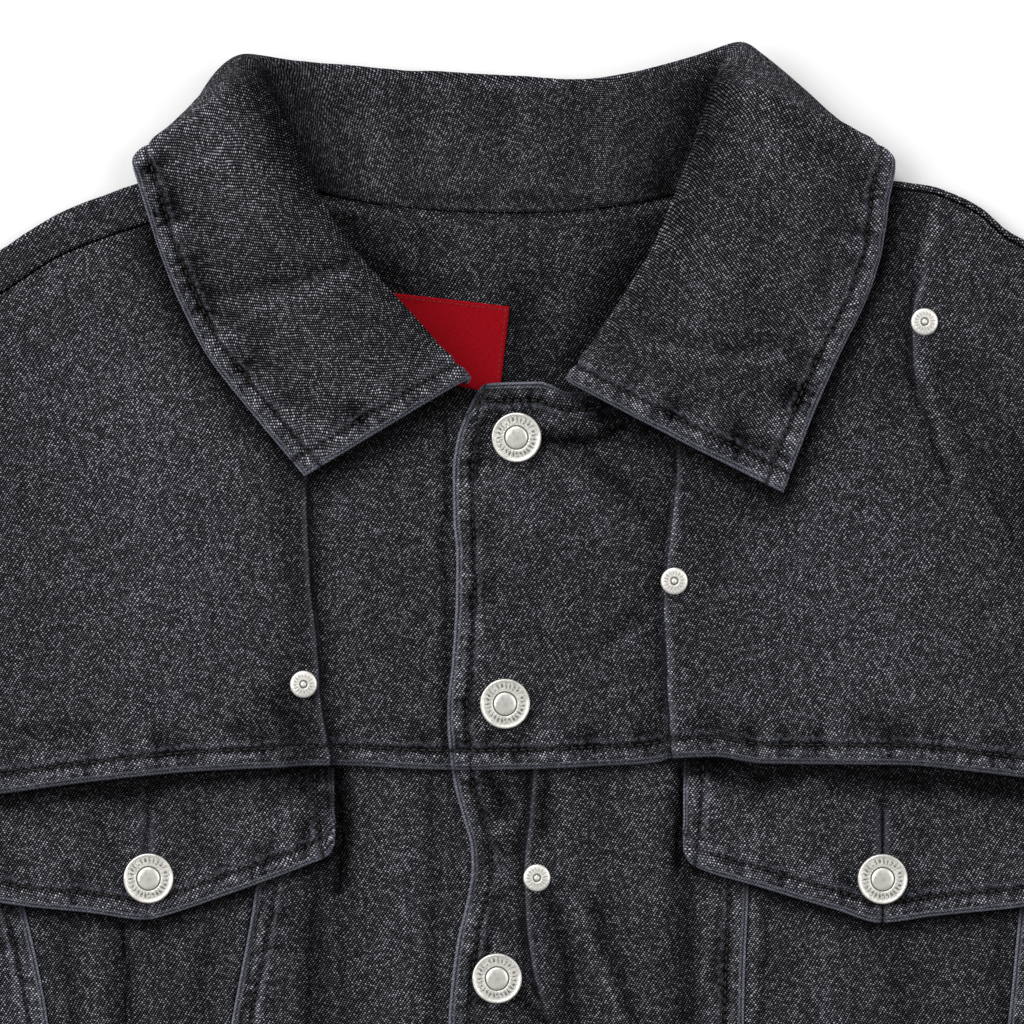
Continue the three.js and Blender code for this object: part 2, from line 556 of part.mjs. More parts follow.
// Collar: sections from the wearer's right end round the back to the left end. Each runs from the neck seam
// up the stand to the roll, then down the fall to the edge.
const COLLAR = [
  // seam               stand                 roll                  fall                  edge
  [[-14, 44.4, 4.6], [-13.6, 45.2, 7.6], [-15.5, 44.6, 11], [-43, 28.5, 10], [-70.1, 12, 9.3]],
  [[-37, 51.3, 4.4], [-32, 57, 10], [-32, 64, 16], [-60, 50.5, 13.5], [-88, 33.5, 8]],
  [[-54.5, 62.2, 4.4], [-48, 71, 12], [-47, 80.5, 20], [-75, 67.5, 15.5], [-103, 53, 6.6]],
  [[-67, 76, 4.4], [-60, 84.5, 14], [-59, 95, 23], [-86, 83.5, 17], [-112.5, 71, 6.6]],
  [[-75.5, 92, 5.6], [-68.5, 100, 16], [-67.8, 111, 25], [-94, 100.5, 18.5], [-119.5, 89, 7]],
  [[-80, 107, 7], [-75.5, 115, 17], [-76.5, 130, 25], [-101, 117, 19.5], [-125, 106.5, 10.6]],
  [[-80, 114, 7], [-79, 124, 16], [-83, 142, 23], [-112.5, 131, 12.5], [-128.4, 119.6, 6.6]],
  [[-78, 113.8, 6], [-80, 129, 14], [-86, 147.5, 20.5], [-111.5, 135, 6.4], [-123.5, 120, 1.2]],
  [[-75.2, 114, 6], [-81, 133, 12], [-88, 151.5, 18], [-107, 139.5, 2.4], [-114, 110, 1.2]],
  [[-67, 110.4, 4.9], [-76, 135, 7.5], [-89, 154.6, 13.5], [-99, 149.5, 1.8], [-104, 104, 1.2]],
  [[-56, 107.6, 4], [-64, 134, 5.4], [-72, 152.9, 9], [-76, 148, 1.8], [-82, 99.5, 1.2]],
  [[-28, 103.7, 3.9], [-32, 130, 5.2], [-36, 149.9, 8], [-38, 144, 1.6], [-42, 96.5, 1.2]],
  [[2, 102.6, 3.9], [2, 128, 5.2], [2, 147.6, 8], [2, 142, 1.6], [2, 95.6, 1.2]],
  [[30, 103.9, 3.9], [31, 128, 5.2], [32, 147.2, 8], [36, 142, 1.6], [42, 96.5, 1.2]],
  [[55, 108.6, 4.1], [58, 133, 6], [62, 154, 10.5], [72, 150, 2], [82, 99.5, 1.2]],
  [[70, 114.4, 5], [72, 138, 9], [78, 158.4, 15.5], [90, 149, 1.8], [104, 104, 1.2]],
  [[77, 117.6, 5.8], [71, 133, 14], [74.5, 153, 20.5], [107.5, 137, 2.4], [114, 110, 1.2]],
  [[79, 117.4, 6.4], [70.5, 128, 15.5], [72, 148, 22.5], [112, 133, 6.4], [125, 121, 1.2]],
  [[80.5, 117, 7], [70, 124, 17], [69.6, 143, 24], [113.5, 130, 12.5], [131, 120, 6.6]],
  [[80.2, 106, 7], [67, 112, 18], [64.4, 127, 26], [97, 117, 19.5], [129.4, 106.5, 10.6]],
  [[76, 90.5, 5.4], [61, 97, 17], [57.8, 109, 26], [92, 99, 19], [126.8, 88, 7]],
  [[67.5, 73.5, 4.6], [53, 81, 15], [50.6, 91, 24], [85, 83, 18], [121.5, 72, 6.6]],
  [[55.5, 58.5, 4.4], [41, 65, 13], [40.6, 74, 21], [76, 66, 16], [113.5, 55.5, 6.6]],
  [[39.5, 48.8, 4.6], [29, 51.5, 11], [29.6, 57.5, 17], [65, 46, 13.5], [104, 34, 6.8]],
  [[21, 44.6, 6.2], [19.4, 45.2, 9], [20.6, 44, 12.4], [56.5, 25, 10.6], [93.3, 6.5, 8]],
];
const COLLAR_STEPS = [0, 0.5, 1, 1.4, 1.7, 1.88, 2, 2.12, 2.3, 2.6, 3, 3.5, 4];

function collar() {
  const section = (points) => new THREE.CatmullRomCurve3(points, false, "centripetal");
  const lines = COLLAR[0].map((_, k) => section(COLLAR.map((row) => new THREE.Vector3(...row[k]))));
  const grid = steps(COLLAR.length - 1).map((share) => {
    const across = section(lines.map((line) => line.getPoint(share)));
    return COLLAR_STEPS.map((at) => {
      const point = across.getPoint(at / (COLLAR[0].length - 1));
      return point.setZ(Math.max(point.z, DOUBLE / 2));
    });
  });
  return clothPiece("collar", grid, DOUBLE);
}

function neckLabel() {
  const { x, y, turn } = LABEL_CORNER;
  const { width, height } = LABEL_SIZE;
  const geometry = new THREE.BoxGeometry(width, height, LABEL);
  geometry.translate(-width / 2, -height / 2, CLOTH + GAP + LABEL / 2);
  const label = piece("neck_label", geometry, RED);
  label.rotation.z = turn;
  label.position.set(x, y, 0);
  return label;
}

// Metal
const BUTTON_PROFILE = [
  // radius, height
  [0, 0], [BUTTON_RADIUS, 0], [BUTTON_RADIUS, 1.6], [7.8, 2.4], [5.1, 2.4], [4.6, 1.8], [4, 2.5], [0, 3.2],
];
const RIVET_PROFILE = [[0, 0], [RIVET_RADIUS, 0], [4.3, 0.9], [2.6, 1.1], [1.6, 1.7], [0, 2]];
const FRONT_BUTTONS = [
  // x, y
  [2.4, 25.6], [-1.7, -65.3], [-4.4, -159.3], [-4.4, -252], [-4.4, -345], [-3, (WAIST_Y + HEM_Y) / 2],
];
const FLAP_BUTTONS = { right: [-123.4, -125.1], left: [127.2, -125.3] };
const RIVETS = {
  yoke_right: [-70.4, -58.8],
  yoke_left: [56.1, -23.6],
  shoulder_left: [141.5, 64.9],
  front_left: [9.2, -124.8],
};

// Height of the cloth under a disc.
function seatHeight(cloth, x, y, radius) {
  const ray = new THREE.Raycaster();
  let height = 0;
  for (const reach of [0, 0.5, 1, 1.08]) {
    for (const turn of steps(16)) {
      const angle = turn * 2 * Math.PI;
      const from = new THREE.Vector3(x + reach * radius * Math.cos(angle), y + reach * radius * Math.sin(angle), 60);
      ray.set(from, new THREE.Vector3(0, 0, -1));
      const [hit] = ray.intersectObjects(cloth, false);
      if (hit) height = Math.max(height, hit.point.z);
    }
  }
  return height;
}

function metalPiece(name, profile, segments, radius, [x, y], cloth) {
  const geometry = new THREE.LatheGeometry(profile.map(([r, z]) => new THREE.Vector2(r, z)), segments);
  geometry.rotateX(Math.PI / 2);
  const mesh = piece(name, geometry, NICKEL);
  mesh.position.set(x, y, seatHeight(cloth, x, y, radius) + GAP);
  return mesh;
}

const cuffButton = (mirror) => cuffPoint(14, CUFF_HEIGHT / 2, 0, mirror).toArray();
const cloth = [
  backYoke(),
  backPanel(),
  rightYoke(),
  leftYoke(),
  ...lowerPanels(),
  pocketFlap("pocket_flap_right", FLAPS.right),
  pocketFlap("pocket_flap_left", FLAPS.left),
  waistband(),
  ...sleeve("sleeve", "right", -1),
  ...sleeve("sleeve", "left", 1),
  cuff("cuff_right", -1),
  cuff("cuff_left", 1),
  collar(),
];
const button = (name, place) => metalPiece(name, BUTTON_PROFILE, 14, BUTTON_RADIUS, place, cloth);
const rivet = (name, place) => metalPiece(name, RIVET_PROFILE, 12, RIVET_RADIUS, place, cloth);

const jacket = new THREE.Group();
jacket.add(
  ...cloth,
  neckLabel(),
  ...FRONT_BUTTONS.map((place, i) => button(`front_button_${i + 1}`, place)),
  button("flap_button_right", FLAP_BUTTONS.right),
  button("flap_button_left", FLAP_BUTTONS.left),
  button("cuff_button_right", cuffButton(-1)),
  button("cuff_button_left", cuffButton(1)),
  ...Object.entries(RIVETS).map(([name, place]) => rivet(`rivet_${name}`, place)),
);
const middle = new THREE.Box3().setFromObject(jacket).getCenter(new THREE.Vector3());
jacket.position.set(-middle.x, -middle.y, 0);

export default jacket;
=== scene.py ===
"""A denim jacket of the trucker cut, buttoned up and laid flat on a pale floor.

The tables are in millimetres in the plane of the table, with y counted from the chest line, x towards the
wearer's left and z up. `Cloth.wall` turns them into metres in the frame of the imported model.
"""

import logging
import math
from collections.abc import Callable, Sequence
from dataclasses import dataclass, field
from enum import Enum

import bpy
import numpy as np
from mathutils import Matrix, Vector


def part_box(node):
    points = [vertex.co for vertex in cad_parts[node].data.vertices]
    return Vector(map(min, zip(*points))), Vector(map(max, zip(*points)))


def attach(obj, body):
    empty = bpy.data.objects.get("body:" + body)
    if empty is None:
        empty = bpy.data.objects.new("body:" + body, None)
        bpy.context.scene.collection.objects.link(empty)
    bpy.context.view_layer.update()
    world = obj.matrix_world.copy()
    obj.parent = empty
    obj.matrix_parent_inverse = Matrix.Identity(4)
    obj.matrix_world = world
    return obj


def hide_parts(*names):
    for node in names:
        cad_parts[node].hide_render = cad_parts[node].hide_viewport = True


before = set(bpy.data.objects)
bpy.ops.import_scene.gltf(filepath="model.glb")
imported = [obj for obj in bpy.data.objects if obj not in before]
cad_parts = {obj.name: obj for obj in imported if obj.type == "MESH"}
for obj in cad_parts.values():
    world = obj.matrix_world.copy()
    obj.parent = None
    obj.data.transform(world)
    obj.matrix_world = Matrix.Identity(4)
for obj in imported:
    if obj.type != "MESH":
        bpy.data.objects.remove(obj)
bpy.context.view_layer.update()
log = logging.getLogger("jacket")

Curve = Callable[[np.ndarray], np.ndarray]
Surface = Callable[[np.ndarray, np.ndarray], np.ndarray]

MM = 0.001
CLOTH = 1.2
DOUBLE = 2.4
LABEL = 1.0
GAP = 0.3
LOFT = 2.0
EASED_GAP = 0.9
LAP = 4.0
FOLD = (CLOTH + GAP + LOFT) / 2
WAIST_Y = -418.0
HEM_Y = -462.0
BACK_SEAM_Y = -58.0
UNDERLAP_X = 15.0
OVERLAP_ENDS_X = 36.0
BACK_NECK_X = 84.0
HALF_SHOULDER = 268.0
HALF_WAIST = 250.0
RIGHT_SEAM_FORWARD = 12.0
STITCH_IN = 6.8
PUCKER_SIZE = 5.8
CREST_WEAR = 0.34
SHADE_BESIDE_COLLAR = 0.8
SHADE_UNDER_FLAP = 0.85
SHADE_UNDER_YOKE = 0.6
STITCH_PITCH = 2.9
ORIGIN_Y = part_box("waistband")[0].y / MM - HEM_Y


def mix(start: np.ndarray, stop: np.ndarray, share: np.ndarray) -> np.ndarray:
    """Return the value at a share of the way from start to stop."""
    return start + (stop - start) * share


def ramp(start: np.ndarray, stop: np.ndarray, at: np.ndarray) -> np.ndarray:
    """Return a smooth step that is 0 at start and 1 at stop."""
    t = np.clip((at - start) / (stop - start), 0, 1)
    return t * t * (3 - 2 * t)


def hill(centre: float, half: float, at: np.ndarray) -> np.ndarray:
    """Return a bell that is 1 at its centre."""
    return np.exp(-(((at - centre) / half) ** 2))


def through(*rows: tuple[float, float]) -> Curve:
    """Make a smooth function through a table that never overshoots it.

    Args:
        rows: Pairs of (at, value), in order.

    Returns:
        The function, which keeps its end values outside the table.
    """
    at, value = np.array(rows, float).T
    slope = np.diff(value) / np.diff(at)
    before = np.concatenate([slope[:1], slope])
    after = np.concatenate([slope, slope[-1:]])
    turns = before * after <= 0
    tangent = np.where(turns, 0, 2 * before * after / np.where(turns, 1, before + after))

    def curve(x: np.ndarray) -> np.ndarray:
        """Return the table's value at x."""
        x = np.clip(x, at[0], at[-1])
        i = np.clip(np.searchsorted(at, x, side="right") - 1, 0, len(at) - 2)
        width = at[i + 1] - at[i]
        t = (x - at[i]) / width
        rest = 1 - t
        ends = value[i] * rest**2 * (1 + 2 * t) + value[i + 1] * t**2 * (3 - 2 * t)
        return ends + width * t * rest * (tangent[i] * rest - tangent[i + 1] * t)

    return curve


def noise(x: np.ndarray, y: np.ndarray, size: float, seed: int) -> np.ndarray:
    """Make smooth random values over a plane.

    Args:
        x: First coordinate, in millimetres.
        y: Second coordinate, in millimetres.
        size: Distance between the random values.
        seed: Picks the pattern.

    Returns:
        Values from -1 to 1.
    """
    table = np.random.default_rng(seed).uniform(-1, 1, (256, 256))
    x, y = np.asarray(x) / size + 64.5, np.asarray(y) / size + 64.5
    i, j = np.floor(x).astype(int), np.floor(y).astype(int)
    fx, fy = x - i, y - j
    fx, fy = fx**3 * (fx * (fx * 6 - 15) + 10), fy**3 * (fy * (fy * 6 - 15) + 10)
    i0, i1, j0, j1 = i % 256, (i + 1) % 256, j % 256, (j + 1) % 256
    return mix(mix(table[i0, j0], table[i1, j0], fx), mix(table[i0, j1], table[i1, j1], fx), fy)


# Outline of the body. A side is a table of (y, x), and a top or bottom one of (x, y).
flank = through(
    (WAIST_Y, HALF_WAIST), (-300, 270), (-232, 281), (-215, 283), (-200, 273), (-170, 260), (-120, 250),
    (-60, 248), (0, 256), (50, HALF_SHOULDER),
)
shoulder = through(
    (-HALF_SHOULDER, 50), (-220, 70), (-174.3, 89.5), (-167.5, 94), (-153.8, 102.5), (-128, 112.2),
    (-110, 117), (-85, 123.4), (85, 123.4), (110, 117), (130.2, 113.4), (143.2, 112.1), (152.1, 109),
    (161.7, 103.7), (169.5, 96.7), (175.7, 93.3), (220, 71), (HALF_SHOULDER, 50),
)
yoke_seam = through(
    (-283, -106), (-220, -101), (-174.3, -96.4), (-150.8, -93.2), (-127.2, -90.5), (-103.7, -88.5),
    (-80.2, -87.4), (-64.6, -86.5), (-20.5, -88.2), (7, -87.7), (30.8, -86.8), (49.5, -86.1), (55, -84.2),
    (69.6, -83.6), (86.3, -86), (136.5, -86.6), (153.3, -88.2), (175.7, -90.8), (220, -96), (283, -103),
)
front_edge = through(
    (HEM_Y, -20), (-300, -20), (-175, -21.2), (-158, -19.8), (-146, -18.1), (-133, -15), (-122, -13.3),
    (-114, -13.7), (-104, -16.4), (-90, -19.8), (-68, -21.5), (-51, -19.8), (-30, -18.6), (-15, -18.4),
    (-2, -19.4), (14, -19.6), (25, -18.1), (32, -15.7), (39, -12.4), (43, -9.6),
)
right_neck = through(
    (-84, 112), (-82, 106), (-79, 96), (-73, 82), (-63, 67), (-49, 55), (-31, 47), (-15, 42.5),
    (0, 40), (15, 39),
)
left_neck = through(
    (-12.6, 38.6), (-10.5, 42), (-8, 43.9), (0, 44.4), (11, 44.6), (15, 43), (20, 41), (26, 41.5), (39, 45), (55, 54),
    (67, 68), (75, 83), (80, 98), (83, 111), (85, 122),
)
back_neck = through(
    (-84, 137), (-82, 128.5), (-79, 120), (-76, 114.5), (-66, 109.1), (-57, 107), (-42, 104.6), (-24, 103),
    (0, 102.2), (24, 103), (37, 104.4), (57, 108.6), (68, 112.5), (77, 116.5), (81, 120), (85, 125),
)
right_inner = through((WAIST_Y, -118), (-300, -111), (-230, -104), (-175, -95.7), (-136, -88.4), (-84, -81))
right_outer = through((WAIST_Y, -144), (-300, -147), (-230, -152), (-175, -157.9), (-136, -165.8), (-84, -178))
left_inner = through((WAIST_Y, 112), (-300, 93), (-230, 82), (-175, 80.3), (-126, 82), (-84, 83))
left_outer = through((WAIST_Y, 140), (-300, 152), (-230, 162), (-175, 170.2), (-141, 173.6), (-84, 179))


@dataclass(frozen=True)
class FlapCut:
    """The outline of a pocket flap below the yoke seam."""

    start: float
    stop: float
    edge: Curve
    slit: tuple[float, float, float]


RIGHT_FLAP = FlapCut(
    -185.6,
    -60,
    through(
        (-185.6, -130), (-174.3, -133.6), (-142.9, -137.1), (-124, -139.4), (-119.4, -138.4), (-95.8, -130.5),
        (-68.4, -120.3), (-61.8, -117.2), (-60, -113),
    ),
    (-124.2, -103.6, -124),
)
LEFT_FLAP = FlapCut(
    59.2,
    192.5,
    through(
        (59.2, -116), (62, -120.5), (84.6, -128), (111.4, -136), (126.5, -140.4), (144.9, -138.1),
        (175.7, -134.9), (192.5, -131),
    ),
    (127.2, -102.6, -124),
)

# Soft folds: x and y of both ends, half of the width, and the rise.
FRONT_FOLDS = np.array([
    (-92, 4, -80, -56, 11, 0.9), (-47, 2, -40, -70, 10, 0.6), (34, -8, 44, -74, 10, 0.7),
    (72, -30, 104, -74, 10, 0.6), (156, 84, 160, 20, 9, 1.2), (150, 56, 196, -30, 10, -1.1),
    (-131, -146, -130, -230, 7, -1.1), (-64, -96, -66, -230, 6, -1.2), (60, -96, 61, -240, 6, -1.2),
    (28, -126, 62, -196, 8, 1), (-190, -60, -150, -10, 18, 0.7), (205, 40, 232, -60, 14, 0.8),
    (-225, 30, -215, -60, 14, 0.7), (-240, -250, -180, -310, 14, 0.8), (240, -250, 186, -318, 14, 0.8),
    (-40, -230, -60, -390, 12, 0.7), (44, -240, 58, -396, 12, 0.7),
])
SLEEVE_FOLDS = np.array([
    (300, -40, 356, -150, 14, 1.3), (330, -70, 404, -190, 14, -1), (398, -130, 430, -230, 12, 1.2),
    (470, -160, 470, -260, 12, -0.9), (520, -230, 560, -300, 12, 1), (300, -150, 350, -215, 13, 1),
])


def fold_rise(x: np.ndarray, y: np.ndarray, folds: np.ndarray) -> np.ndarray:
    """Add up the soft folds at places on the cloth.

    Args:
        x: Places across the body.
        y: Places up the body.
        folds: Rows of both ends, half width and rise.

    Returns:
        The rise at each place.
    """
    total = np.zeros(np.broadcast(x, y).shape)
    for x1, y1, x2, y2, half, rise in folds:
        length = math.hypot(x2 - x1, y2 - y1)
        along = ((x - x1) * (x2 - x1) + (y - y1) * (y2 - y1)) / length
        across = ((x - x1) * (y2 - y1) - (y - y1) * (x2 - x1)) / length
        ends = ramp(-half, half, along) * ramp(length + half, length - half, along)
        total += rise * ends * hill(0, half, across)
    return total


@dataclass(frozen=True)
class Tuck:
    """Cloth folded over itself along a line; over is 1 where the side with larger x lies on top."""

    over: int
    line: Curve
    shut: Curve
    high: Curve


RIGHT_YOKE_TUCK = Tuck(
    -1,
    through((-84, -61.5), (-61, -65), (-51, -65.6), (-23, -68.4), (14, -70), (60, -71)),
    through((-84, 1), (4, 1), (26, 0)),
    through((-84, 1), (2, 1), (34, 0)),
)
LEFT_YOKE_TUCK = Tuck(
    1,
    through((-84, 55.6), (-57, 53.7), (-30, 52.6), (-16, 54), (16, 57.4), (60, 60)),
    through((-84, 1), (10, 1), (30, 0)),
    through((-84, 1), (12, 1), (38, 0)),
)
LEFT_SHOULDER_TUCK = Tuck(
    1,
    through((-20, 146), (28, 141.8), (38, 140.1), (55, 137.7), (67, 137.4), (83, 141.8), (105, 147)),
    through((28, 0), (44, 0.9), (60, 1), (74, 0.9), (88, 0)),
    through((6, 0), (30, 0.5), (44, 1), (76, 1), (90, 0.45), (104, 0)),
)
LEFT_FRONT_TUCK = Tuck(
    1,
    through(
        (-230, 22), (-196, 17), (-170, 12), (-156, 7.9), (-140, 5.8), (-122, 5.1), (-105, 6.8), (-84, 8.5)
    ),
    through((-176, 0), (-158, 1), (-84, 1)),
    through((-220, 0), (-178, 0.8), (-160, 1), (-84, 1)),
)
TUCK_HIGH = 2 * (CLOTH + GAP)
TUCK_OVER = 33.0
TUCK_UNDER = 11.0
# The section of a tuck: shut x, shut share of the height, open x, open share of the height.
TUCK_SECTION = np.array([
    (-4, 0, -8, 0), (5.3, 0, -5, 0.06), (6.1, 0.25, -3.5, 0.24), (5.3, 0.5, -2.3, 0.44),
    (0.8, 0.5, -1.2, 0.64), (-0.1, 0.75, 0, 0.82), (0.8, 1, 2, 0.96), (10, 0.96, 10, 0.9),
    (20, 0.32, 20, 0.32), (30, 0, 30, 0),
])
over_tuck = through((-17, 0), (-7, 1.04), (14, 1.04), (33, 0))

# Heights of the middle of the cloth
FALL_RISE = DOUBLE + 0.7
fall_edge = through((0, 95.5), (60, 97), (85, 99.5), (112, 104), (120, 108), (128, 113))


def back_middle(x: np.ndarray, y: np.ndarray) -> np.ndarray:
    """Return the height of the back, which lies on the collar's fall."""
    edge = fall_edge(np.abs(x))
    return CLOTH / 2 + FALL_RISE * ramp(142, 131, np.abs(x)) * ramp(edge - 26, edge - 6, y)


def front_middle(x: np.ndarray, y: np.ndarray) -> np.ndarray:
    """Return the height of the front, which lies on the back and the air between them."""
    pinch = LOFT * ramp(28, 4, flank(y) - np.abs(x)) * ramp(-205, -235, y)
    return back_middle(x, y) + 2 * FOLD + fold_rise(x, y, FRONT_FOLDS) - pinch


def overlap_rise(x: np.ndarray) -> np.ndarray:
    """Return the rise of the left front where it lies over the right one."""
    return (CLOTH + GAP) * ramp(OVERLAP_ENDS_X, UNDERLAP_X + 3, x)


def tuck_marks(x: np.ndarray, y: np.ndarray, tucks: Sequence[Tuck]) -> tuple[np.ndarray, np.ndarray]:
    """Find the worn crest of each tuck and the painted shade in the hollow beside it.

    Args:
        x: Places across the body.
        y: Places up the body.
        tucks: The tucks that cross the cloth.

    Returns:
        How worn the cloth is, and the painted shade in the hollows.
    """
    worn, painted_shade = np.zeros(np.shape(x)), np.zeros(np.shape(x))
    for tuck in tucks:
        beside = tuck.over * (x - tuck.line(y))
        shut, high = tuck.shut(y), tuck.high(y)
        crest = np.where(beside > -0.4, hill(0.2, 0.9, beside), 0)
        # Painted shade in the hollow beside each fold.
        hollow = np.where(beside < 0.4, 0.45 * hill(0, 6.5, beside) + 0.6 * hill(0, 2.0, beside), 0)
        worn = np.maximum(worn, crest * CREST_WEAR * shut)
        painted_shade = np.maximum(painted_shade, hollow * (0.3 * high + 0.55 * shut))
    return worn, painted_shade


LEAF_EDGES = (
    ((-127, 115), (-120.5, 90), (-109, 63), (-90, 36), (-70, 12), (-14, 43)),
    ((130, 112), (126.5, 86), (116, 62), (104, 35), (93, 7), (20, 41)),
)


def beside_collar(x: np.ndarray, y: np.ndarray) -> np.ndarray:
    """Return how close the cloth is to the edge of a collar leaf that lies on it, from 0 to 1."""
    nearest = np.full(np.shape(x), 1e9)
    for leaf in LEAF_EDGES:
        for (x1, y1), (x2, y2) in zip(leaf, leaf[1:]):
            length = math.hypot(x2 - x1, y2 - y1)
            along = np.clip(((x - x1) * (x2 - x1) + (y - y1) * (y2 - y1)) / length, 0, length)
            off = np.hypot(x - x1 - along * (x2 - x1) / length, y - y1 - along * (y2 - y1) / length)
            nearest = np.minimum(nearest, off)
    return hill(0, 8, nearest)


def lap_rise(x: np.ndarray, y: np.ndarray) -> np.ndarray:
    """Return the rise of the yoke over the tops of the panels and flaps below it."""
    layers = np.ones(np.shape(x))
    for flap in (RIGHT_FLAP, LEFT_FLAP):
        layers = layers + ramp(flap.start - 7, flap.start - 1, x) * ramp(flap.stop + 7, flap.stop + 1, x)
    return layers * (CLOTH + GAP) * ramp(34, LAP + 4, y - yoke_seam(x))


def left_front_middle(x: np.ndarray, y: np.ndarray) -> np.ndarray:
    """Return the height of the left front, one layer higher over the right yoke's lower edge."""
    above = y - yoke_seam(x)
    lip = overlap_rise(x) * ramp(-18, -2, above) * ramp(34, LAP + 4, above)
    return front_middle(x, y) + overlap_rise(x) + lip


def right_yoke_middle(x: np.ndarray, y: np.ndarray) -> np.ndarray:
    """Return the height of the right front yoke."""
    return front_middle(x, y) + lap_rise(x, y)


def left_yoke_middle(x: np.ndarray, y: np.ndarray) -> np.ndarray:
    """Return the height of the left front yoke, which rises over the tuck below it."""
    tuck = TUCK_HIGH * over_tuck(x - LEFT_FRONT_TUCK.line(y)) * ramp(-46, -76, y)
    return left_front_middle(x, y) + lap_rise(x, y) + tuck


def flap_middle(x: np.ndarray, y: np.ndarray) -> np.ndarray:
    """Return the height of a pocket flap, which bridges the troughs of the cloth below."""
    ridges = FRONT_FOLDS[FRONT_FOLDS[:, 5] > 0]
    return CLOTH + 2 * FOLD + GAP + DOUBLE / 2 + fold_rise(x, y, ridges)


def seam_below(x: np.ndarray) -> np.ndarray:
    """Return where the front meets the back at the shoulder."""
    return shoulder(x) - CLOTH / 2 - FOLD - EASED_GAP


class Edge(Enum):
    """The four edges of a grid of cloth."""

    TOP = "first row"
    BOTTOM = "last row"
    START = "first column"
    END = "last column"


FINE = (0, 0.12, 0.4, 0.8, 1.4, 2.1, 2.8, 3.6, 4.4, 5.2, 5.8, 6.3, 6.8, 7.3, 7.9, 8.8, 10, 11.4)


def stations(length: float, step: float, fine_start: bool = False, fine_stop: bool = False) -> np.ndarray:
    """Place grid lines over a length, closer together beside a stitched edge.

    Args:
        length: The length in millimetres.
        step: The usual distance between lines.
        fine_start: Whether the start is a stitched edge.
        fine_stop: Whether the stop is a stitched edge.

    Returns:
        Shares of the length from 0 to 1.
    """
    start = list(FINE) if fine_start else [0]
    stop = [length - at for at in reversed(FINE)] if fine_stop else [length]
    count = max(2, round((stop[0] - start[-1]) / step))
    between = np.linspace(start[-1], stop[0], count + 1)[1:-1]
    return np.array([*start, *between, *stop]) / length


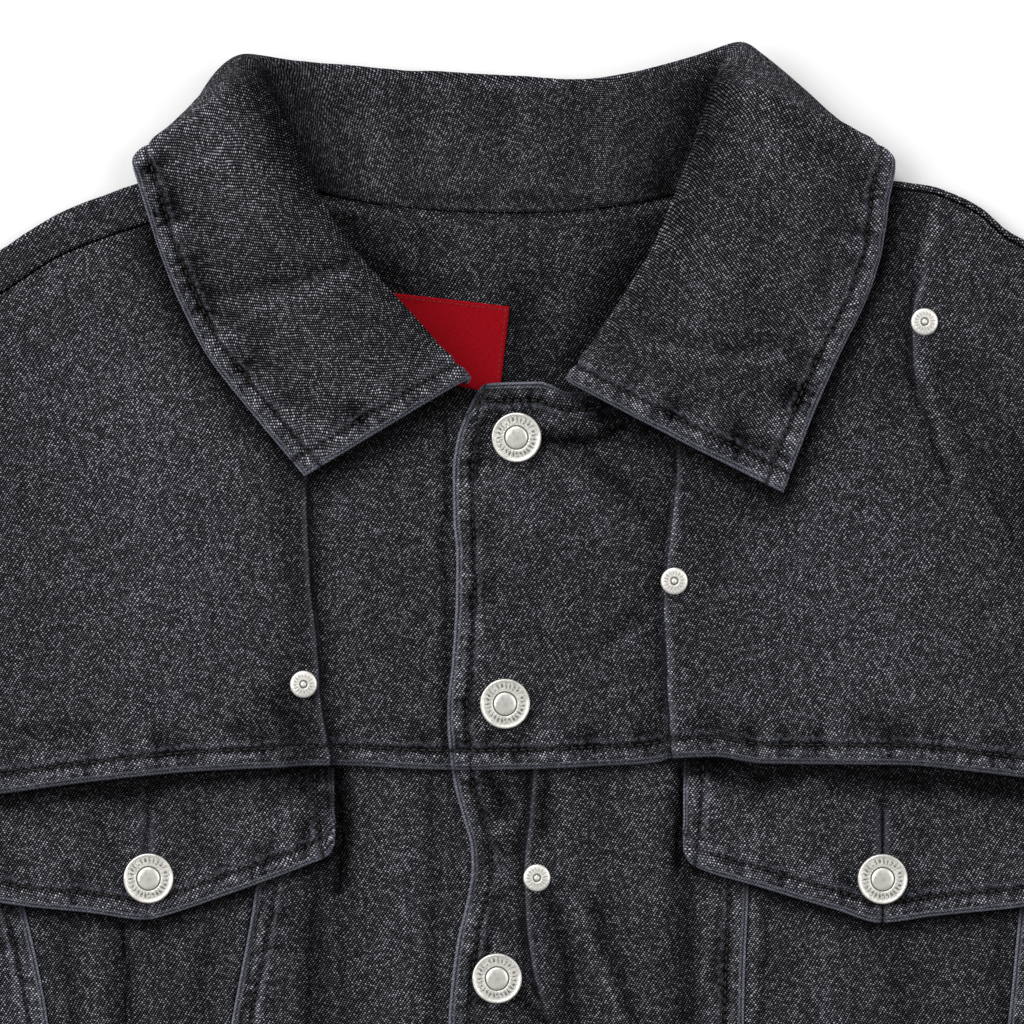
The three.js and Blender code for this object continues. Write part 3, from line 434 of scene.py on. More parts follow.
@dataclass
class Cloth:
    """A piece of cloth as a grid of points in its middle, in millimetres.

    Attributes:
        name: The node that the piece stands for.
        points: Rows by columns by 3, or by 6 with the marks.
        thickness: Of the finished piece.
        twill: Angle of the twill lines in the piece's plan, in degrees.
        plan: Rows by columns by 2, the places on the cut cloth; the plan view if None.
        stitched: Edges that are turned and stitched.
        limp: How far the small waves rise.
        seed: Picks the waves.
        slot: The name of its finish, which is not used.
        marks: Rows by columns by 3: how worn the cloth is, its painted shade, and its fading with painted light and
            shade.
        reach: How far along an edge its stitches go, where they don't go all the way.
        puckered: How strongly its stitched edges pucker.
    """

    name: str
    points: np.ndarray
    thickness: float = CLOTH
    twill: float = 55.0
    plan: np.ndarray | None = None
    stitched: Sequence[Edge] = ()
    free: Sequence[Edge] = ()
    limp: float = 0.3
    seed: int = 1
    slot: str = "denim"
    marks: np.ndarray | None = None
    reach: dict[Edge, float] = field(default_factory=dict)
    puckered: float = 1.0
    normals: np.ndarray = field(init=False)

    def __post_init__(self) -> None:
        """Shape the waves and the stitched edges, and paint the light and shade of the puckers."""
        if self.points.shape[2] == 6:
            self.marks, self.points = self.points[..., 3:], self.points[..., :3]
        self.marks = np.zeros(self.points.shape) if self.marks is None else self.marks.copy()
        if self.plan is None:
            self.plan = self.points[..., :2].copy()
        self.face_out()
        u, v = self.plan[..., 0], self.plan[..., 1]
        rise = self.limp * (noise(u, v, 22, self.seed) + 0.5 * noise(u + v, v - u, 11, self.seed + 1))
        for edge in self.stitched:
            rise = rise + self.edge_rise(edge)
            run, away = self.from_edge(edge)
            pucker = noise(run, away * 0.35, PUCKER_SIZE, self.seed + 7)
            # Painted light and shade of the puckers beside the stitched edges, added to the fading.
            self.marks[..., 2] += 0.75 * self.puckered * pucker * hill(7.5, 8, away) * self.held(edge, run)
        self.points = self.points + self.normals * rise[..., None]
        self.normals = self.find_normals()

    def face_out(self) -> None:
        """Turn the rows round if the highest cloth faces down."""
        self.normals = self.find_normals()
        z = self.points[..., 2]
        highest = z > z.max() - 0.25 * np.ptp(z) - 0.01
        if self.normals[highest][:, 2].mean() < 0:
            self.points, self.plan = self.points[::-1].copy(), self.plan[::-1].copy()
            self.marks = self.marks[::-1].copy()
            swap = {Edge.TOP: Edge.BOTTOM, Edge.BOTTOM: Edge.TOP}
            self.stitched = [swap.get(edge, edge) for edge in self.stitched]
            self.free = [swap.get(edge, edge) for edge in self.free]
            self.normals = self.find_normals()

    def find_normals(self) -> np.ndarray:
        """Return the unit normals of the grid."""
        down = np.gradient(self.points, axis=0)
        along = np.gradient(self.points, axis=1)
        normal = np.cross(down, along)
        return normal / np.maximum(np.linalg.norm(normal, axis=2, keepdims=True), 1e-9)

    def lengths(self, axis: int) -> np.ndarray:
        """Return the distance along the cloth from the first row or column."""
        step = np.linalg.norm(np.diff(self.points, axis=axis), axis=2)
        pad = [(1, 0), (0, 0)] if axis == 0 else [(0, 0), (1, 0)]
        return np.pad(np.cumsum(step, axis=axis), pad)

    def from_edge(self, edge: Edge) -> tuple[np.ndarray, np.ndarray]:
        """Measure the cloth from one of its edges.

        Args:
            edge: The edge.

        Returns:
            The place along the edge and the distance from it, for each point.
        """
        down, along = self.lengths(0), self.lengths(1)
        if edge is Edge.TOP:
            return np.broadcast_to(along[:1], along.shape), down
        if edge is Edge.BOTTOM:
            return np.broadcast_to(along[-1:], along.shape), down[-1:] - down
        if edge is Edge.START:
            return np.broadcast_to(down[:, :1], down.shape), along
        return np.broadcast_to(down[:, -1:], down.shape), along[:, -1:] - along

    def edge_rise(self, edge: Edge) -> np.ndarray:
        """Return the puckers beside a stitched edge: a full band, a pinched line and small puffs."""
        run, away = self.from_edge(edge)
        pucker = self.puckered * noise(run, away * 0.35, PUCKER_SIZE, self.seed + 7)
        band = 0.32 * hill(3.6, 2.4, away) * (1 + 1.2 * pucker)
        pinch = -0.6 * hill(STITCH_IN, 1.2, away)
        puffs = 0.36 * hill(STITCH_IN + 3.4, 2.8, away) * (0.7 + 1.2 * pucker)
        return (band + pinch + puffs) * self.held(edge, run)

    def held(self, edge: Edge, run: np.ndarray) -> np.ndarray:
        """Return 1 where the edge has its stitches and 0 beyond their reach."""
        if edge not in self.reach:
            return np.ones_like(run)
        return ramp(self.reach[edge] + 8, self.reach[edge], run)

    def line(self, edge: Edge, away: float) -> tuple[np.ndarray, np.ndarray]:
        """Find a line on the outer face at a distance from an edge.

        Args:
            edge: The edge.
            away: The distance from it.

        Returns:
            The points of the line and their normals.
        """
        _, distance = self.from_edge(edge)
        outer = self.points + self.normals * self.thickness / 2
        across = edge in (Edge.TOP, Edge.BOTTOM)
        found, normals = [], []
        for k in range(distance.shape[1 if across else 0]):
            cut = (slice(None), k) if across else (k, slice(None))
            order = np.argsort(distance[cut])
            at = distance[cut][order]
            found.append([np.interp(away, at, outer[cut][order][:, c]) for c in range(3)])
            normals.append([np.interp(away, at, self.normals[cut][order][:, c]) for c in range(3)])
        if edge in self.reach:
            run = np.concatenate([[0], np.cumsum(np.linalg.norm(np.diff(found, axis=0), axis=1))])
            found, normals = (np.array(rows)[run < self.reach[edge]] for rows in (found, normals))
        return np.array(found), np.array(normals)

    def half_thickness(self) -> np.ndarray:
        """Return half of the thickness, rounded off at the stitched edges."""
        half = np.full(self.points.shape[:2], self.thickness / 2)
        for edge in (*self.stitched, *self.free):
            _, away = self.from_edge(edge)
            t = np.clip(away / (self.thickness * 0.6), 0, 1)
            half = np.minimum(half, self.thickness / 2 * (0.12 + 0.88 * np.sqrt(1 - (1 - t) ** 2)))
        return half

    def wall(self, material: bpy.types.Material) -> bpy.types.Object:
        """Build the closed wall of the cloth in its place.

        Args:
            material: Its finish.

        Returns:
            The piece, riding on the body and standing for its node.
        """
        rows, columns = self.points.shape[:2]
        half = self.half_thickness()[..., None]
        upper, lower = self.points + self.normals * half, self.points - self.normals * half
        places = np.concatenate([upper.reshape(-1, 3), lower.reshape(-1, 3)])
        places = (places + (0, ORIGIN_Y, 0)) * MM
        top = np.arange(rows * columns).reshape(rows, columns)
        bottom = top + rows * columns
        faces = [
            np.stack([top[:-1, :-1], top[1:, :-1], top[1:, 1:], top[:-1, 1:]], -1),
            np.stack([bottom[:-1, :-1], bottom[:-1, 1:], bottom[1:, 1:], bottom[1:, :-1]], -1),
            np.stack([top[1:, 0], top[:-1, 0], bottom[:-1, 0], bottom[1:, 0]], -1),
            np.stack([top[:-1, -1], top[1:, -1], bottom[1:, -1], bottom[:-1, -1]], -1),
            np.stack([top[0, :-1], top[0, 1:], bottom[0, 1:], bottom[0, :-1]], -1),
            np.stack([top[-1, 1:], top[-1, :-1], bottom[-1, :-1], bottom[-1, 1:]], -1),
        ]
        piece = mesh_piece(f"{self.name}_cloth", places, np.concatenate([f.reshape(-1, 4) for f in faces]))
        angle = math.radians(self.twill)
        u, v = self.plan[..., 0], self.plan[..., 1]
        across = -u * math.sin(angle) + v * math.cos(angle)
        along = u * math.cos(angle) + v * math.sin(angle)
        self.store(piece, "weave", np.stack([across * MM, along * MM, np.zeros_like(u)], -1))
        self.store(piece, "marks", self.marks)
        for name, edges in (("rowseam", (Edge.TOP, Edge.BOTTOM)), ("colseam", (Edge.START, Edge.END))):
            self.store(piece, name, self.seam_values(edges))
        piece.data.materials.append(material)
        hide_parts(self.name)
        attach(piece, "root")
        return piece

    def seam_values(self, edges: Sequence[Edge]) -> np.ndarray:
        """Return (place along, distance from, 1) for the nearest stitched edge, in metres, or zeros."""
        best = np.zeros((*self.points.shape[:2], 3))
        best[..., 1] = 1
        for edge in edges:
            if edge not in self.stitched:
                continue
            run, away = self.from_edge(edge)
            nearer = away * MM < best[..., 1]
            best[nearer] = np.stack([run * MM, away * MM, self.held(edge, run)], -1)[nearer]
        return best

    @staticmethod
    def store(piece: bpy.types.Object, name: str, values: np.ndarray) -> None:
        """Store a vector for each point of both faces of the wall."""
        flat = np.tile(values.reshape(-1, 3), (2, 1)).astype(np.float32)
        layer = piece.data.attributes.new(name, "FLOAT_VECTOR", "POINT")
        layer.data.foreach_set("vector", flat.ravel())


def mesh_piece(name: str, places: np.ndarray, faces: np.ndarray) -> bpy.types.Object:
    """Make an object from points and quads or triangles.

    Args:
        name: Its name.
        places: The points in metres.
        faces: Rows of point numbers.

    Returns:
        The object, smooth shaded.
    """
    mesh = bpy.data.meshes.new(name)
    sides = faces.shape[1]
    mesh.vertices.add(len(places))
    mesh.vertices.foreach_set("co", places.astype(np.float32).ravel())
    mesh.loops.add(faces.size)
    mesh.loops.foreach_set("vertex_index", faces.astype(np.int32).ravel())
    mesh.polygons.add(len(faces))
    mesh.polygons.foreach_set("loop_start", np.arange(0, faces.size, sides, dtype=np.int32))
    mesh.update(calc_edges=True)
    mesh.validate()
    mesh.polygons.foreach_set("use_smooth", np.ones(len(mesh.polygons), bool))
    piece = bpy.data.objects.new(name, mesh)
    bpy.context.scene.collection.objects.link(piece)
    return piece


def meeting_y(line: Curve, edge: Curve) -> float:
    """Return the y where a line of (y, x) meets a top or bottom of (x, y)."""
    y = 0.0
    for _ in range(12):
        y = float(edge(line(y)))
    return y


def spline(points: np.ndarray, at: np.ndarray) -> np.ndarray:
    """Follow a centripetal spline through points.

    Args:
        points: Control points along the first axis, which may hold several lines side by side.
        at: Places from 0 to 1, each an even share of the control points.

    Returns:
        The places on the spline.
    """
    last = len(points) - 1
    padded = np.concatenate([2 * points[:1] - points[1:2], points, 2 * points[-1:] - points[-2:-1]])
    i = np.clip(np.floor(at * last).astype(int), 0, last - 1)
    t = (at * last - i).reshape(-1, *[1] * (points.ndim - 1))
    p = [padded[i + k] for k in range(4)]
    gap = [np.maximum(np.linalg.norm(p[k + 1] - p[k], axis=-1, keepdims=True), 1e-6) ** 0.5 for k in range(3)]
    start = (p[1] - p[0]) / gap[0] - (p[2] - p[0]) / (gap[0] + gap[1]) + (p[2] - p[1]) / gap[1]
    stop = (p[2] - p[1]) / gap[1] - (p[3] - p[1]) / (gap[1] + gap[2]) + (p[3] - p[2]) / gap[2]
    start, stop = start * gap[1], stop * gap[1]
    square = -3 * p[1] + 3 * p[2] - 2 * start - stop
    cube = 2 * p[1] - 2 * p[2] + start + stop
    return p[1] + start * t + square * t**2 + cube * t**3


@dataclass(frozen=True)
class Crease:
    """A soft crease in the cloth, with painted shade and painted highlight.

    Attributes:
        line: Its places in the plan, in millimetres.
        half: How far it reaches to each side.
        rise: How far it lifts the cloth.
        light: How much it lightens the cloth: fading, and painted highlight on its crest.
        painted_shade: How much painted shade it lays on the cloth.
    """

    line: tuple[tuple[float, float], ...]
    half: float
    rise: float
    light: float
    painted_shade: float

    def share(self, x: np.ndarray, y: np.ndarray) -> np.ndarray:
        """Return how much of the crease each place has, from 0 to 1."""
        nearest = np.full(np.shape(x), 1e9)
        for (x1, y1), (x2, y2) in zip(self.line, self.line[1:]):
            length = math.hypot(x2 - x1, y2 - y1)
            along = np.clip(((x - x1) * (x2 - x1) + (y - y1) * (y2 - y1)) / length**2, 0, 1)
            nearest = np.minimum(nearest, np.hypot(x - x1 - along * (x2 - x1), y - y1 - along * (y2 - y1)))
        return np.exp(-((nearest / self.half) ** 2))


def crease(x: np.ndarray, y: np.ndarray, creases: Sequence[Crease], seed: int = 5) -> tuple:
    """Lay creases into cloth.

    Args:
        x: Places across the body.
        y: Places up the body.
        creases: The creases that cross the cloth.
        seed: Picks how ragged they are.

    Returns:
        How far they lift the cloth, how much they lighten it with fading and painted highlight, and how much painted
        shade they lay on it.
    """
    rise, light, painted_shade = (np.zeros(np.shape(x)) for _ in range(3))
    x, y = x + 1.1 * noise(x, y, 9, seed), y + 1.1 * noise(x, y, 9, seed + 1)
    for row in creases:
        share = row.share(x, y)
        rise = rise + row.rise * share
        light = light + row.light * share
        painted_shade = np.maximum(painted_shade, row.painted_shade * share)
    return rise, light, painted_shade


def creases(*rows: tuple) -> tuple[Crease, ...]:
    """Read a table of creases, whose rows are half, rise, light (fading and painted highlight), painted shade and
    then the places of the line.
    """
    return tuple(Crease(tuple(line), *sizes) for *sizes, line in ((*row[:4], row[4:]) for row in rows))


# Creases of the fronts, seen from above, with their painted shade and painted highlight
FRONT_CREASES = creases(
    (1.5, -0.3, 0, 0.75, (-10.3, 29.7), (-12.3, 14.4), (-12.0, -16.4), (-14.0, -64.3), (-13.3, -81.3)),
    (1.5, -0.3, 0, 0.7, (-12.3, -91.6), (-4.4, -115.5), (-6.5, -142.9), (-12.3, -175.0)),
    (0.9, 0.1, 0.25, 0, (-15.0, 28.0), (-17.1, 10.9), (-16.7, -16.4), (-18.8, -60.8)),
    (1.2, -0.2, 0, 0.35, (-67.7, 10.9), (-63.6, -30.1), (-60.8, -77.9)),
    (8.9, -0.4, 0, 0.8, (-76.2, -66.0), (-71.8, -87.5)),
    (3.4, -0.5, 0, 0.9, (-57.4, -87.5), (-56.1, -108.7), (-56.7, -125.8)),
    (4.8, 0, 0, 0.5, (64.9, -72.8), (78.6, -76.2)),
    (5.5, 0, 0, 0.5, (119.6, -71.1), (133.3, -74.5)),
    (4.8, 0, 0, 0.5, (-92.3, -72.8), (-71.8, -76.2)),
    (4.8, 0, 0, 0.4, (-167.5, -76.2), (-143.6, -72.8)),
    (6.2, 0, 0, 0.5, (92.3, 2.4), (78.6, 4.1)),
    (4.8, 0, 0, 0.35, (-54.7, 14.4), (-27.3, 31.4)),
    (5.5, 0, 0, 0.4, (-123.0, 96.4), (-109.4, 62.2), (-92.3, 28.0)),
    (4.8, 0, 0, 0.4, (129.9, 103.2), (123.0, 72.5), (109.4, 38.3)),
    (1.2, 0.2, 0.45, 0, (-9.2, 14.4), (-10.9, -30.1), (-9.6, -77.9)),
    (1.2, 0.2, 0.4, 0, (-5.1, -108.7), (-2.7, -132.6), (-6.8, -166.8)),
    (35.9, 0, 0.37, 0, (-117.9, 28.0), (-123.0, -30.1)),
    (20.5, 0, 0.17, 0, (-153.8, 62.2), (-140.1, 31.4)),
    (32.5, 0, 0.37, 0, (112.8, -16.4), (116.2, -43.8)),
    (10.3, 0, 0.31, 0, (153.8, 62.2), (162.4, 31.4)),
    (1.7, -0.23, 0, 0.72, (-21.5, 40.0), (-22.6, -16.4), (-21.9, -84.8)),
    (5.5, 0, 0, 0.39, (-76.9, 7.5), (-73.1, -30.1), (-71.8, -50.6)),
    (7.5, -0.46, 0, 0.59, (-73.1, -64.3), (-71.8, -79.6)),
    (6.2, 0, 0.2, 0, (-61.5, 10.9), (-56.4, -43.8)),
    (2.1, 0.69, 0.85, 0, (14.4, 41.0), (22.2, 34.9), (30.8, 26.0)),
    (3.4, -0.69, 0, 0.97, (12.0, 26.0), (25.6, 24.3), (38.3, 28.7)),
    (1.4, -0.46, 0, 0.78, (15.7, 36.9), (21.2, 31.4)),
    (4.4, -0.46, 0, 0.59, (25.6, 22.9), (47.9, -1.0)),
    (4.1, 0.34, 0.59, 0, (-1.7, 11.6), (6.2, -2.7)),
    (3.4, 0.34, 0.37, 0, (17.1, 14.4), (30.8, -2.7)),
    (1.7, -0.46, 0, 0.65, (33.5, -43.8), (49.9, -27.3)),
    (2.1, 0.23, 0.42, 0, (36.9, -48.9), (52.0, -34.2)),
    (4.1, -0.34, 0, 0.59, (49.6, 10.9), (48.5, -16.4)),
    (1.4, 0.34, 0.94, 0, (57.4, 10.9), (54.3, -15.0)),
    (1.4, 0.34, 0.85, 0, (53.3, -32.1), (55.7, -50.6), (55.4, -71.8)),
    (2.7, -0.34, 0, 0.39, (49.6, -34.2), (51.3, -71.1)),
    (8.5, 0, 0, 0.29, (61.5, 10.9), (68.4, -9.6)),
    (1.7, 0.46, 1.02, 0, (147.0, 105.6), (143.6, 91.3), (138.4, 73.8)),
    (3.1, -0.34, 0, 0.45, (141.8, 103.2), (135.0, 75.9)),
    (1.7, -0.46, 0, 0.72, (136.0, 55.4), (141.8, 31.4), (149.7, 10.9)),
    (1.7, 0.34, 0.77, 0, (139.5, 55.4), (145.6, 31.4), (153.1, 10.9)),
    (3.8, -0.57, 0, 0.52, (146.6, 46.1), (165.1, 6.8), (174.0, -13.0)),
    (4.8, 0.34, 0.51, 0, (154.5, 45.1), (170.9, 10.9)),
    (4.8, 0, 0, 0.33, (126.5, 62.2), (130.9, 31.4)),
    (4.1, 0, 0.34, 0, (-164.1, 72.5), (-143.6, 85.5), (-129.9, 101.5)),
    (3.1, -0.8, 0, 0.97, (-58.8, -87.5), (-57.8, -108.7), (-58.1, -128.3)),
    (2.4, -0.3, 0, 0.5, (-58.1, -122.0), (-58.5, -160.0), (-59.0, -240.0)),
    (2.7, -0.8, 0, 0.97, (58.8, -87.5), (57.8, -108.7), (58.1, -121.7)),
    (2.7, -0.57, 0, 0.72, (-66.7, -134.3), (-67.7, -153.1), (-68.4, -175.0)),
    (2.4, 0.34, 0.42, 0, (-61.5, -134.3), (-61.5, -175.0)),
    (9.6, 0, 0.24, 0, (-40.3, -89.9), (-39.0, -175.0)),
    (2.7, -0.34, 0, 0.45, (-27.3, -88.2), (-26.0, -175.0)),
    (2.1, -0.69, 0, 0.91, (-7.5, -89.9), (-3.4, -98.4), (-0.7, -103.6)),
    (1.7, 0.46, 0.85, 0, (-1.7, -88.9), (3.4, -98.4)),
    (2.1, -0.57, 0, 0.65, (-12.3, -93.0), (-8.5, -112.1), (-10.9, -132.6)),
    (2.4, 0.46, 0.68, 0, (-3.4, -108.7), (0.7, -125.8), (-0.7, -142.9)),
    (3.1, -0.57, 0, 0.78, (12.0, -88.2), (10.3, -108.7)),
    (4.1, 0.34, 0.42, 0, (17.1, -95.0), (18.8, -118.9)),
    (3.1, -0.57, 0, 0.72, (13.0, -132.6), (18.8, -153.1), (21.2, -175.0)),
    (2.1, 0.57, 0.85, 0, (22.6, -134.3), (30.8, -156.5), (37.6, -175.0)),
    (3.1, -0.57, 0, 0.65, (28.7, -134.0), (37.3, -160.6), (41.7, -175.0)),
    (3.1, -0.46, 0, 0.78, (3.4, -166.8), (12.0, -175.0)),
    (7.5, 0, 0.26, 0, (44.4, -95.0), (47.9, -132.6)),
    (2.7, -0.57, 0, 0.65, (60.2, -123.0), (61.5, -175.0)),
    (2.7, 0.34, 0.59, 0, (67.0, -125.8), (67.7, -175.0)),
    (1.3, -0.57, 0, 0.95, (-131.6, -139.8), (-131.3, -156.5), (-129.9, -240.0)),
    (2.4, 0.34, 0.42, 0, (-127.5, -141.2), (-126.5, -175.0)),
    (1.2, 0.46, 1.02, 0, (-80.3, -126.5), (-84.1, -149.7), (-87.2, -175.0)),
    (1.4, -0.34, 0, 0.65, (-84.1, -127.1), (-88.2, -149.7), (-91.3, -175.0)),
    (1.2, 0.46, 0.85, 0, (-173.6, -136.4), (-169.5, -156.5), (-165.8, -175.0)),
    (2.7, -0.34, 0, 0.45, (-153.8, -137.7), (-148.7, -175.0)),
    (2.7, 0.23, 0.34, 0, (-143.6, -139.5), (-140.1, -175.0)),
    (4.1, -0.23, 0, 0.39, (-102.5, -134.3), (-106.0, -175.0)),
    (1.2, 0.46, 0.94, 0, (84.4, -129.2), (83.1, -175.0)),
    (1.4, -0.34, 0, 0.52, (87.5, -129.9), (86.8, -175.0)),
    (1.4, -0.34, 0, 0.45, (72.8, -128.9), (71.8, -175.0)),
    (4.8, 0, 0.34, 0, (106.0, -139.5), (109.4, -175.0)),
    (4.1, -0.23, 0, 0.39, (133.3, -142.9), (135.0, -175.0)),
    (2.7, -0.23, 0, 0.45, (167.5, -141.2), (169.2, -175.0)),
)
# Creases of the pocket flaps, with their painted shade and painted highlight
FLAP_CREASES = creases(
    (7.5, 0, 0, 0.85, (-76.9, -86.5), (-63.2, -98.4)),
    (4.1, 0, 0, 0.8, (64.9, -87.5), (85.5, -93.3)),
    (4.8, 0, 0, 0.7, (-174.3, -95.0), (-153.8, -95.0)),
    (3.4, 0, 0, 0.7, (109.4, -93.3), (147.0, -95.0)),
    (1.7, -0.3, 0, 0.85, (-124.1, -95.7), (-124.1, -115.5)),
    (2.4, 0.2, 0.3, 0, (-128.2, -98.4), (-130.6, -115.5)),
    (1.7, -0.3, 0, 0.85, (127.1, -95.7), (127.1, -115.5)),
    (2.4, 0.2, 0.3, 0, (121.3, -98.4), (118.9, -112.1)),
    (8.9, 0, 0.3, 0, (-153.8, -115.5), (-167.5, -122.4)),
    (7.5, 0, 0.35, 0, (-95.7, -110.4), (-71.8, -103.6)),
    (2.7, 0, 0, 0.3, (-140.1, -101.9), (-136.7, -118.9)),
    (2.7, 0, 0, 0.25, (-109.4, -98.4), (-107.3, -115.5)),
    (8.2, 0, 0.4, 0, (75.2, -108.7), (95.7, -115.5)),
    (7.5, 0, 0.3, 0, (150.4, -115.5), (170.9, -118.9)),
    (2.7, 0, 0, 0.25, (140.1, -98.4), (141.8, -115.5)),
    (4.8, 0, 0, 0.4, (-82.0, -95.0), (-76.9, -98.4)),
)
# Shaded cloth inside the neck
NECK_CREASES = creases(
    (9.6, 0, 0, 0.7, (-63.2, 104.9), (-46.1, 82.7), (-27.3, 58.8)),
    (9.6, 0, 0, 0.7, (55.4, 104.9), (37.6, 75.9), (23.9, 48.5)),
    (6.2, 0, 0, 0.6, (0.0, 69.0), (2.1, 43.4)),
    (6.2, 0, 0, 0.65, (-65.6, 104.9), (-51.3, 89.6), (-35.9, 75.2)),
    (4.8, 0, 0, 0.65, (-27.3, 62.2), (-13.7, 47.9)),
    (6.8, 0, 0, 0.65, (58.8, 106.6), (44.4, 85.5), (30.8, 62.2)),
    (5.5, 0, 0, 0.59, (29.1, 62.2), (22.2, 47.9)),
    (7.5, 0, 0, 0.45, (3.4, 72.5), (6.8, 45.1)),
    (2.7, 0, 0, 0.45, (-54.7, 102.5), (47.9, 101.5)),
    (4.1, 0, 0.2, 0, (-13.7, 96.4), (-12.0, 75.9)),
    (2.7, 0, 0, 0.26, (-30.8, 94.7), (-29.1, 75.9)),
    (4.1, 0, 0.17, 0, (17.1, 96.4), (19.1, 72.5)),
)
# Creases of the collar, with their painted shade and painted highlight
COLLAR_CREASES = creases(
    (9.2, 0, 0, 0.8, (-84.8, 145.9), (-75.2, 127.1), (-65.6, 110.1)),
    (8.5, 0, 0, 0.75, (66.7, 142.5), (61.5, 127.1), (51.3, 111.8)),
    (5.1, 0, 0, 0.78, (-84.8, 149.4), (-76.9, 130.6), (-65.6, 110.1)),
    (4.1, 0, 0, 0.52, (-76.9, 151.1), (-71.8, 137.4)),
    (5.1, 0, 0, 0.72, (70.1, 147.7), (61.5, 130.6), (54.0, 111.8)),
    (2.1, 0, 0, 0.39, (-37.6, 108.4), (30.8, 106.6)),
    (3.4, 0, 0, 0.29, (-58.1, 144.2), (-56.4, 111.8)),
    (3.1, 0, 0.26, 0, (-47.2, 144.2), (-45.8, 113.5)),
    (3.1, 0, 0, 0.26, (-35.9, 145.9), (-34.2, 110.1)),
    (3.4, 0, 0.26, 0, (-23.9, 145.9), (-21.9, 111.8)),
    (2.7, 0, 0, 0.23, (-6.2, 144.2), (-4.4, 110.1)),
    (3.1, 0, 0.2, 0, (3.4, 144.2), (4.8, 111.8)),
    (3.1, 0, 0, 0.2, (20.5, 144.2), (19.1, 111.8)),
    (3.4, 0, 0.24, 0, (34.2, 142.5), (31.8, 111.8)),
    (1.7, 0, 0.34, 0, (-10.9, 146.3), (17.1, 145.6)),
    (10.3, 0, 0.42, 0, (-100.8, 134.0), (-92.3, 106.6)),
    (2.7, -0.57, 0, 0.52, (-53.0, 85.5), (-71.8, 79.3), (-100.8, 75.5)),
    (3.4, 0.46, 0.59, 0, (-56.4, 79.3), (-71.8, 72.5), (-97.4, 70.4)),
    (9.6, 0, 0.34, 0, (-71.8, 62.2), (-54.7, 45.1)),
    (3.4, 0, 0, 0.45, (-60.5, 98.1), (-44.4, 81.0), (-27.3, 62.2)),
    (3.4, 0, 0, 0.33, (-74.5, 123.7), (-66.7, 108.4)),
    (4.1, -0.23, 0, 0.2, (-93.0, 65.6), (-71.8, 38.3)),
    (2.7, 0.23, 0.42, 0, (-117.9, 116.9), (-102.5, 120.3)),
    (8.2, 0, 0.42, 0, (80.3, 154.5), (85.5, 123.7)),
    (9.6, 0, 0.42, 0, (71.8, 96.4), (61.5, 62.2)),
    (8.9, 0, 0.31, 0, (99.1, 110.1), (95.7, 65.6)),
    (3.1, 0, 0, 0.26, (64.9, 120.3), (55.4, 96.4)),
    (3.1, -0.34, 0, 0.29, (44.4, 62.2), (71.8, 55.4), (95.7, 58.8)),
    (3.1, 0.34, 0.34, 0, (41.0, 57.1), (71.8, 49.9), (92.3, 53.3)),
    (3.4, 0, 0, 0.2, (47.9, 72.5), (34.2, 52.0)),
    (4.1, -0.23, 0, 0.26, (92.3, 134.0), (119.6, 113.5)),
)


